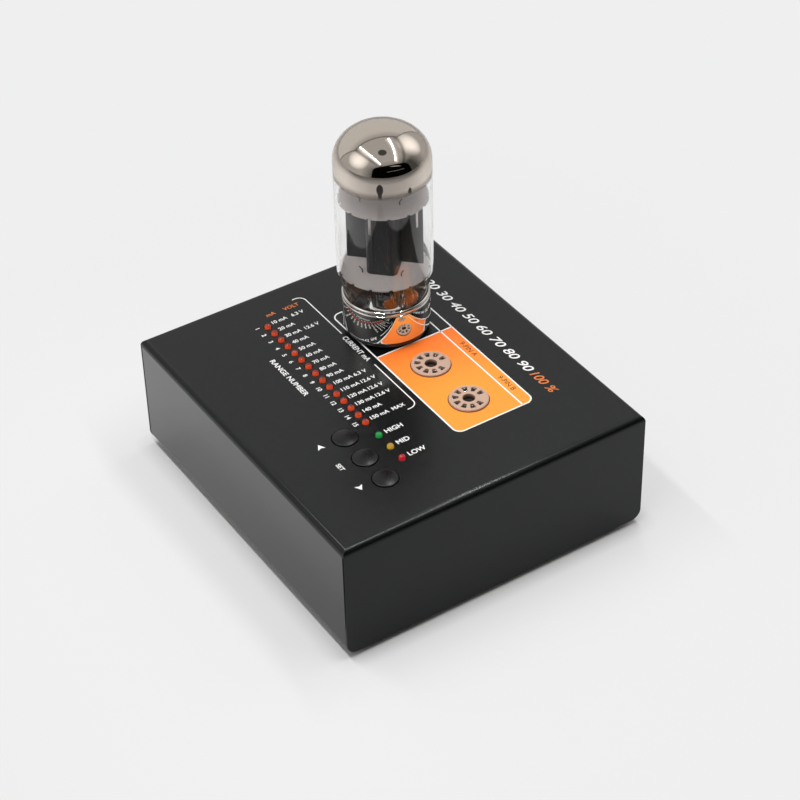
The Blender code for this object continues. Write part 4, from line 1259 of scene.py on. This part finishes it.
anodeShape = {
    "box": (14.0 * mm, 17.0 * mm),
    "corner": 2.6 * mm,
    "sheet": 0.8 * mm,
    "span": 35.0 * mm,
    "finLift": 2.6 * mm,
    "finEdge": 0.12 * mm,
    "bead": 0.55 * mm,
    "beadShort": 2 * mm,
    "beadPlace": 3.6 * mm,
    "turn": math.radians(45),
}


def makeAnode(spec):
    low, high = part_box("tube_anode")
    tall = high.z - low.z
    level = (low.z + high.z) / 2
    width, depth = spec["box"]
    can = slab("anodePlate", (width, depth, tall), (tubeAxis.x, tubeAxis.y, level))
    bevelEdges(can, lambda at, way: along(way, 2), spec["corner"], steps=6)
    dropFaces(can, lambda at, normal: along(normal, 2))
    applyModifier(can, "SOLIDIFY", thickness=spec["sheet"], offset=-1, use_even_offset=True)
    parts = [can]
    wing = (spec["span"] - width) / 2
    for side in (-1, 1):
        centre = tubeAxis.x + side * (width / 2 + wing / 2)
        fin = slab("fin", (wing, spec["sheet"], tall - spec["finLift"]),
                   (centre, tubeAxis.y, level + spec["finLift"] / 2))
        bevelEdges(fin, anyEdge, spec["finEdge"], steps=2)
        parts.append(fin)
        for place in (-1, 1):
            spot = (tubeAxis.x + place * spec["beadPlace"], tubeAxis.y + side * depth / 2)
            ends = (low.z + spec["beadShort"], high.z - spec["beadShort"])
            parts.append(rod("bead", spec["bead"], *ends, spot, sides=16))
    plate = turnedAbout(joined("anodePlate", parts), spec["turn"], tubeAxis)
    dressed(plate, "anodeCarbon", body="tube", nodes=["tube_anode"])


getterShape = {
    "strap": (22.0 * mm, 2.0 * mm, 0.6 * mm),
    "strapLevel": panelTop + 72.8 * mm,
    "strapEdge": 0.15 * mm,
    "post": 0.5 * mm,
    "postHigh": panelTop + 80.8 * mm,
    "reach": 10.0 * mm,
    "cup": [(0, 80.6), (2.4, 80.6), (2.8, 80.7), (3.0, 81.1), (3.0, 81.7), (2.6, 81.7), (2.6, 81.2),
            (2.3, 81.0), (0, 81.0)],
    "turn": math.radians(45),
}


def makeGetter(spec):
    strap = slab("getterStrap", spec["strap"], (tubeAxis.x, tubeAxis.y, spec["strapLevel"]))
    bevelEdges(strap, anyEdge, spec["strapEdge"], steps=2)
    parts = [strap]
    for side in (-1, 1):
        place = (tubeAxis.x + side * spec["reach"], tubeAxis.y)
        parts.append(rod("post", spec["post"], spec["strapLevel"], spec["postHigh"], place, sides=16))
        parts.append(lathe("cup", scaled(spec["cup"], panelTop), place, steps=40))
    getter = turnedAbout(joined("getterCups", parts), spec["turn"], tubeAxis)
    dressed(getter, "wireNickel", body="tube", nodes=["tube_getter"])


# Ends of the grids' rods, bent over where they come through the discs
gridEnds = {
    "radius": 0.28 * mm,
    "sunk": 0.2 * mm,
    "stub": 1.6 * mm,
    "bend": (1.5 * mm, 2.2 * mm),            # how far the bent end goes outwards and up
    "reach": 11.5 * mm,
    "discs": ("tube_mica_lower", "tube_mica_upper"),
    "turns": (-62.0, 38.0, 118.0, 218.0),
}


def makeGridEnds(spec):
    ends = []
    start = (tubeAxis.x + spec["reach"], tubeAxis.y)
    outwards, upwards = spec["bend"]
    for disc in spec["discs"]:
        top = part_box(disc)[1].z
        first = rod("gridEnd", spec["radius"], top - spec["sunk"], top + spec["stub"], start, sides=10)
        grab(first, "face", lambda at, normal: normal.z > 0.9)
        bpy.ops.mesh.extrude_region_move(TRANSFORM_OT_translate={"value": (outwards, 0, upwards)})
        objectMode()
        for turn in spec["turns"]:
            twin = copied(first, "gridEnd")
            ends.append(turnedAbout(twin, towardsCamera + math.radians(turn), tubeAxis))
        bpy.data.objects.remove(first)
    dressed(joined("gridEnds", ends), "leadOxide", body="tube")


tabShape = {
    "size": (0.25 * mm, 1.15 * mm, 8.6 * mm),
    "edge": 0.08 * mm,
    "reach": 20.35 * mm,
    "level": panelTop + 68.2 * mm,
    "turns": (-17.6, 43.9, 162.4, 223.9),
}


def makeTabs(spec):
    tabs = []
    for turn in spec["turns"]:
        tab = slab("tab", spec["size"], (tubeAxis.x + spec["reach"], tubeAxis.y, spec["level"]))
        bevelEdges(tab, anyEdge, spec["edge"], steps=2)
        tabs.append(turnedAbout(tab, towardsCamera + math.radians(turn), tubeAxis))
    dressed(joined("micaTabs", tabs), "tabNickel", body="tube")


makeBulb(bulbShape, flashShape)
makeStem(stemShape)
makeMicas(micaShape)
makeAnode(anodeShape)
makeGetter(getterShape)
makeGridEnds(gridEnds)
makeTabs(tabShape)
print("tube in")


# Panel print: generic numbers and words, thin layers of ink on the panel

inkLooks = {
    "whiteInk": (0.84, 0.84, 0.83),
    "rustInk": (0.66, 0.185, 0.05),
    "darkInk": (0.05, 0.028, 0.015),
}

inkGrain = {
    "darker": 0.93,
    "rough": (0.42, 0.55),
    "size": 0.3,
    "relief": 0.008,
    "even": {"Specular IOR Level": 0.25},
}

# The solid field pales with its distance from the tube: painted shade makes it darker and redder close to
# the tube
fieldLook = {
    "shadedClose": (0.93, 0.165, 0.022),
    "distant": (0.95, 0.29, 0.036),
    "start": tubeAxis.x + 10 * mm,
    "reach": 45 * mm,
}


def ink(name, tint, spec):
    darker = [spec["darker"] * part for part in tint]
    return grained(name, darker, tint, spec["rough"], spec["size"], spec["relief"], spec["even"])


def fieldInk(name, spec, grain):
    material, wire, shader = newMaterial(name, grain["even"])
    fine = speckle(wire, grain["size"] * mm)
    # Painted shade, strongest beside the tube
    share = coordinate(wire, 0).ramp(spec["start"], spec["reach"])
    wire.feed(shader.inputs["Base Color"], share.blend(spec["shadedClose"], spec["distant"]))
    wire.feed(shader.inputs["Roughness"], fine.between(*grain["rough"]))
    bumped(wire, shader, fine, grain["relief"] * mm)
    return material


for name, tint in inkLooks.items():
    finishes[name] = ink(name, tint, inkGrain)
finishes["orangeInkShaded"] = fieldInk("orangeInkShaded", fieldLook, inkGrain)

printShape = {
    "thick": 0.06 * mm,
    "under": 0.04 * mm,
    "bold": 0.022,                           # growth of each letter, against its height
    "capShare": 0.72,
    "rows": 15,
    "rowStep": 10,
    "rowFirst": -63.0,
    "rowPitch": 5.97,
    "numberFirst": -62.9,
    "numberPitch": 5.964,
    "numberLine": -29.7,
    "firstColumn": -21.9,
    "secondColumn": -11.6,
    "secondRows": {1: "6.3 V", 3: "12.6 V", 10: "6.3 V", 11: "12.6 V", 12: "12.6 V", 13: "12.6 V"},
    "rowHeight": 2.2,
    "statusHeight": 2.7,
    "statusLine": -21.6,
    "statusShift": -0.5,
    "statusWords": {"lamp_good": "HIGH", "lamp_worn": "MID", "lamp_fail": "LOW"},
    "titles": [("CURRENT mA", (-24.75, -0.3), 21.1), ("RANGE NUMBER", (-23.85, -36.3), 30.3)],
    "titleHeight": 2.6,
    "setWord": ("SET", 2.2, (41.0, -50.2)),
    "scale": ("10 20 30 40 50 60 70 80 90", (-13.4, 55.0), 93.0),
    "scaleEnd": ("100 %", (43.0, 55.0), 16.5),
    "scaleHeight": 4.5,
    "scaleSlant": 0.25,
    "scaleBold": 0.015,
    "columnHeads": [("mA", (-69.2, -19.0)), ("VOLT", (-68.9, -8.3))],
    "columnHeadHeight": 2.3,
    "socketHeight": 2.6,
    "socketLine": 41.2,
}

panelPlan = {
    "frame": (-52.3, 3.1, 51.0, 44.5),
    "corner": 4.1,
    "line": 0.7,
    "divider": -13.8,
    "header": 38.0,
    "bracket": (-73.2, -30.0, 24.9, 0.35),
    "bracketCorner": 4.0,
    "bracketLine": 0.5,
    "bracketLeg": -5.2,
    "bracketGap": (-38.0, -10.4),
    "upTriangle": (23.1, 26.4, -52.2, -48.5),
    "downTriangle": (58.5, 55.3, -52.2, -48.5),
    "notch": 0.35,                           # of the triangles' base, against their radius
}


def spanOf(piece, axis):
    places = [vertex.co[axis] for vertex in piece.data.vertices]
    return min(places), max(places)


def printed(words, height, place, turn=0, align="CENTER", length=None, slant=0.0, bold=None):
    # Words on the panel; turn is in degrees, and length stretches them to fit
    objectMode()
    bpy.ops.object.text_add()
    letters = bpy.context.object.data
    letters.body = words
    letters.size = height * mm / printShape["capShare"]
    letters.offset = (printShape["bold"] if bold is None else bold) * height * mm
    letters.shear = slant
    letters.resolution_u = 4
    letters.extrude = printShape["thick"] / 2
    bpy.ops.object.convert(target="MESH")
    label = bpy.context.object
    left, right = spanOf(label, 0)
    start = left if align == "LEFT" else (left + right) / 2
    centred = Matrix.Translation((-start, -sum(spanOf(label, 1)) / 2, 0))
    stretch = length * mm / (right - left) if length else 1
    spot = Matrix.Translation((place[0] * mm, place[1] * mm, panelTop + printShape["thick"] / 2))
    turned = Matrix.Rotation(math.radians(turn), 4, "Z")
    label.matrix_world = spot @ turned @ Matrix.Diagonal((stretch, 1, 1, 1)) @ centred
    return settled(label)


def patch(corners, radius, keep=lambda at: True):
    # A flat rectangle on the panel, with its chosen corners rounded
    left, front, right, back = (part * mm for part in corners)
    objectMode()
    centre = ((left + right) / 2, (front + back) / 2, panelTop)
    bpy.ops.mesh.primitive_plane_add(size=1, location=centre)
    piece = bpy.context.object
    piece.scale = (right - left, back - front, 1)
    settled(piece)
    if radius:
        grab(piece, "vert", keep)
        bpy.ops.mesh.bevel(offset=radius * mm, segments=10, affect="VERTICES")
        objectMode()
    return piece


def raised(piece, height):
    applyModifier(piece, "SOLIDIFY", thickness=height, offset=1)
    return piece


def outlined(corners, radius, width):
    # The outline of a rounded rectangle
    piece = patch(corners, radius)
    everything(piece)
    bpy.ops.mesh.inset(thickness=width * mm)
    bpy.ops.mesh.delete(type="FACE")
    objectMode()
    return piece


def sliced(piece, place, normal, clear=False):
    everything(piece)
    bpy.ops.mesh.bisect(plane_co=place, plane_no=normal, clear_inner=clear)
    objectMode()


def arrow(tip, base, front, back):
    # A triangle with a notched base; it starts as a circle of three sides that points to -X
    objectMode()
    bpy.ops.mesh.primitive_circle_add(vertices=3, radius=1, fill_type="NGON")
    piece = bpy.context.object
    piece.rotation_euler.z = math.pi / 2
    settled(piece)
    grab(piece, "edge", lambda at, way: at.x > 0.4)
    bpy.ops.mesh.subdivide(number_cuts=1)
    grab(piece, "vert", lambda at: at.x > 0.4 and abs(at.y) < 0.1)
    bpy.ops.transform.translate(value=(-panelPlan["notch"], 0, 0))
    objectMode()
    left, right = spanOf(piece, 0)
    low, high = spanOf(piece, 1)
    wide = abs(tip - base) * mm / (right - left)
    tall = (back - front) * mm / (high - low)
    scale = Matrix.Diagonal((wide, tall, 1, 1))
    spot = Matrix.Translation(((tip + base) / 2 * mm, (front + back) / 2 * mm, panelTop))
    turned = Matrix.Rotation(0 if tip < base else math.pi, 4, "Z")
    piece.matrix_world = spot @ turned @ scale @ Matrix.Translation((-(left + right) / 2, 0, 0))
    return raised(settled(piece), printShape["thick"])


def whiteLines(plan):
    thick = printShape["thick"]
    left, front, right, back = plan["frame"]
    half = plan["line"] / 2
    lines = [raised(outlined(plan["frame"], plan["corner"], plan["line"]), thick)]
    divider = (plan["divider"] - half, front + half, plan["divider"] + half, back - half)
    header = (left + half, plan["header"] - half, right - half, plan["header"] + half)
    lines += [raised(patch(corners, 0), thick) for corners in (divider, header)]
    bracket = outlined(plan["bracket"], plan["bracketCorner"], plan["bracketLine"])
    sliced(bracket, (0, plan["bracketLeg"] * mm, panelTop), (0, 1, 0), clear=True)
    gapStart, gapEnd = (part * mm for part in plan["bracketGap"])
    for place in (gapStart, gapEnd):
        sliced(bracket, (place, 0, panelTop), (1, 0, 0))
    dropFaces(bracket, lambda at, normal: gapStart < at.x < gapEnd)
    lines.append(raised(bracket, thick))
    lines += [arrow(*plan[name]) for name in ("upTriangle", "downTriangle")]
    return lines


def scaleWords(spec, name):
    words, place, length = spec[name]
    return printed(words, spec["scaleHeight"], place, length=length, slant=spec["scaleSlant"],
                   bold=spec["scaleBold"])


def whiteWords(spec):
    labels = []
    for number in range(1, spec["rows"] + 1):
        row = spec["rowFirst"] + (number - 1) * spec["rowPitch"]
        words = f"{number * spec['rowStep']} mA" + ("  MAX" if number == spec["rows"] else "")
        labels.append(printed(words, spec["rowHeight"], (row, spec["firstColumn"]), 90, "LEFT"))
        if number in spec["secondRows"]:
            second = spec["secondRows"][number]
            labels.append(printed(second, spec["rowHeight"], (row, spec["secondColumn"]), 90, "LEFT"))
        spot = spec["numberFirst"] + (number - 1) * spec["numberPitch"]
        labels.append(printed(str(number), spec["rowHeight"], (spot, spec["numberLine"])))
    for name, words in spec["statusWords"].items():
        place = (middle(name).x / mm + spec["statusShift"], spec["statusLine"])
        labels.append(printed(words, spec["statusHeight"], place, 90, "LEFT"))
    for words, place, length in spec["titles"]:
        labels.append(printed(words, spec["titleHeight"], place, length=length))
    return labels + [printed(*spec["setWord"]), scaleWords(spec, "scale")]


def orangeInlay(plan):
    left, front, right, back = plan["frame"]
    inset = plan["line"] / 2
    corners = (plan["divider"], front + inset, right - inset, back - inset)
    middleLine = (plan["divider"] + right) / 2 * mm
    fill = patch(corners, plan["corner"] - inset, lambda at: at.x > middleLine)
    raised(fill, printShape["under"])
    fill.name = "panelOrange"
    for key in novalKeys:
        spot = middle("noval_socket_" + key)
        carve(fill, rod("cutter", coverSheet["novalHole"], panelTop - mm, panelTop + mm, spot, sides=96))
    return fill


def makePrint(spec, plan):
    white = joined("panelWhite", whiteLines(plan) + whiteWords(spec))
    dressed(white, "whiteInk", smooth=False)
    headings = [printed(words, spec["columnHeadHeight"], place, 90) for words, place in spec["columnHeads"]]
    headings.append(scaleWords(spec, "scaleEnd"))
    dressed(joined("panelRust", headings), "rustInk", smooth=False)
    dressed(orangeInlay(plan), "orangeInkShaded", smooth=False)
    names = []
    for key in novalKeys:
        place = (middle("noval_socket_" + key).x / mm, spec["socketLine"])
        names.append(printed(f"9-PIN {key.upper()}", spec["socketHeight"], place, bold=0.0))
    dressed(joined("panelDark", names), "darkInk", smooth=False)


makePrint(printShape, panelPlan)
print("panel printed")


# Inside pieces keep the frame's own shapes

insideFinishes = {
    "main_board": "boardLaminate",
    "board_spacer": "whiteNylon",
    "switch_body": "switchBlack",
    "switch_plunger": "switchBlack",
    "power_jack": "switchBlack",
    "transformer": "coreFerrite",
    "reservoir_capacitor": "capacitorSleeve",
    "heat_sink": "sinkAluminium",
    "microcontroller": "switchBlack",
    "tube_cathode": "cathodeOxide",
}

for name, node in cad.items():
    for start, finish in insideFinishes.items():
        if name.startswith(start):
            node.data.materials.clear()
            node.data.materials.append(finishes[finish])
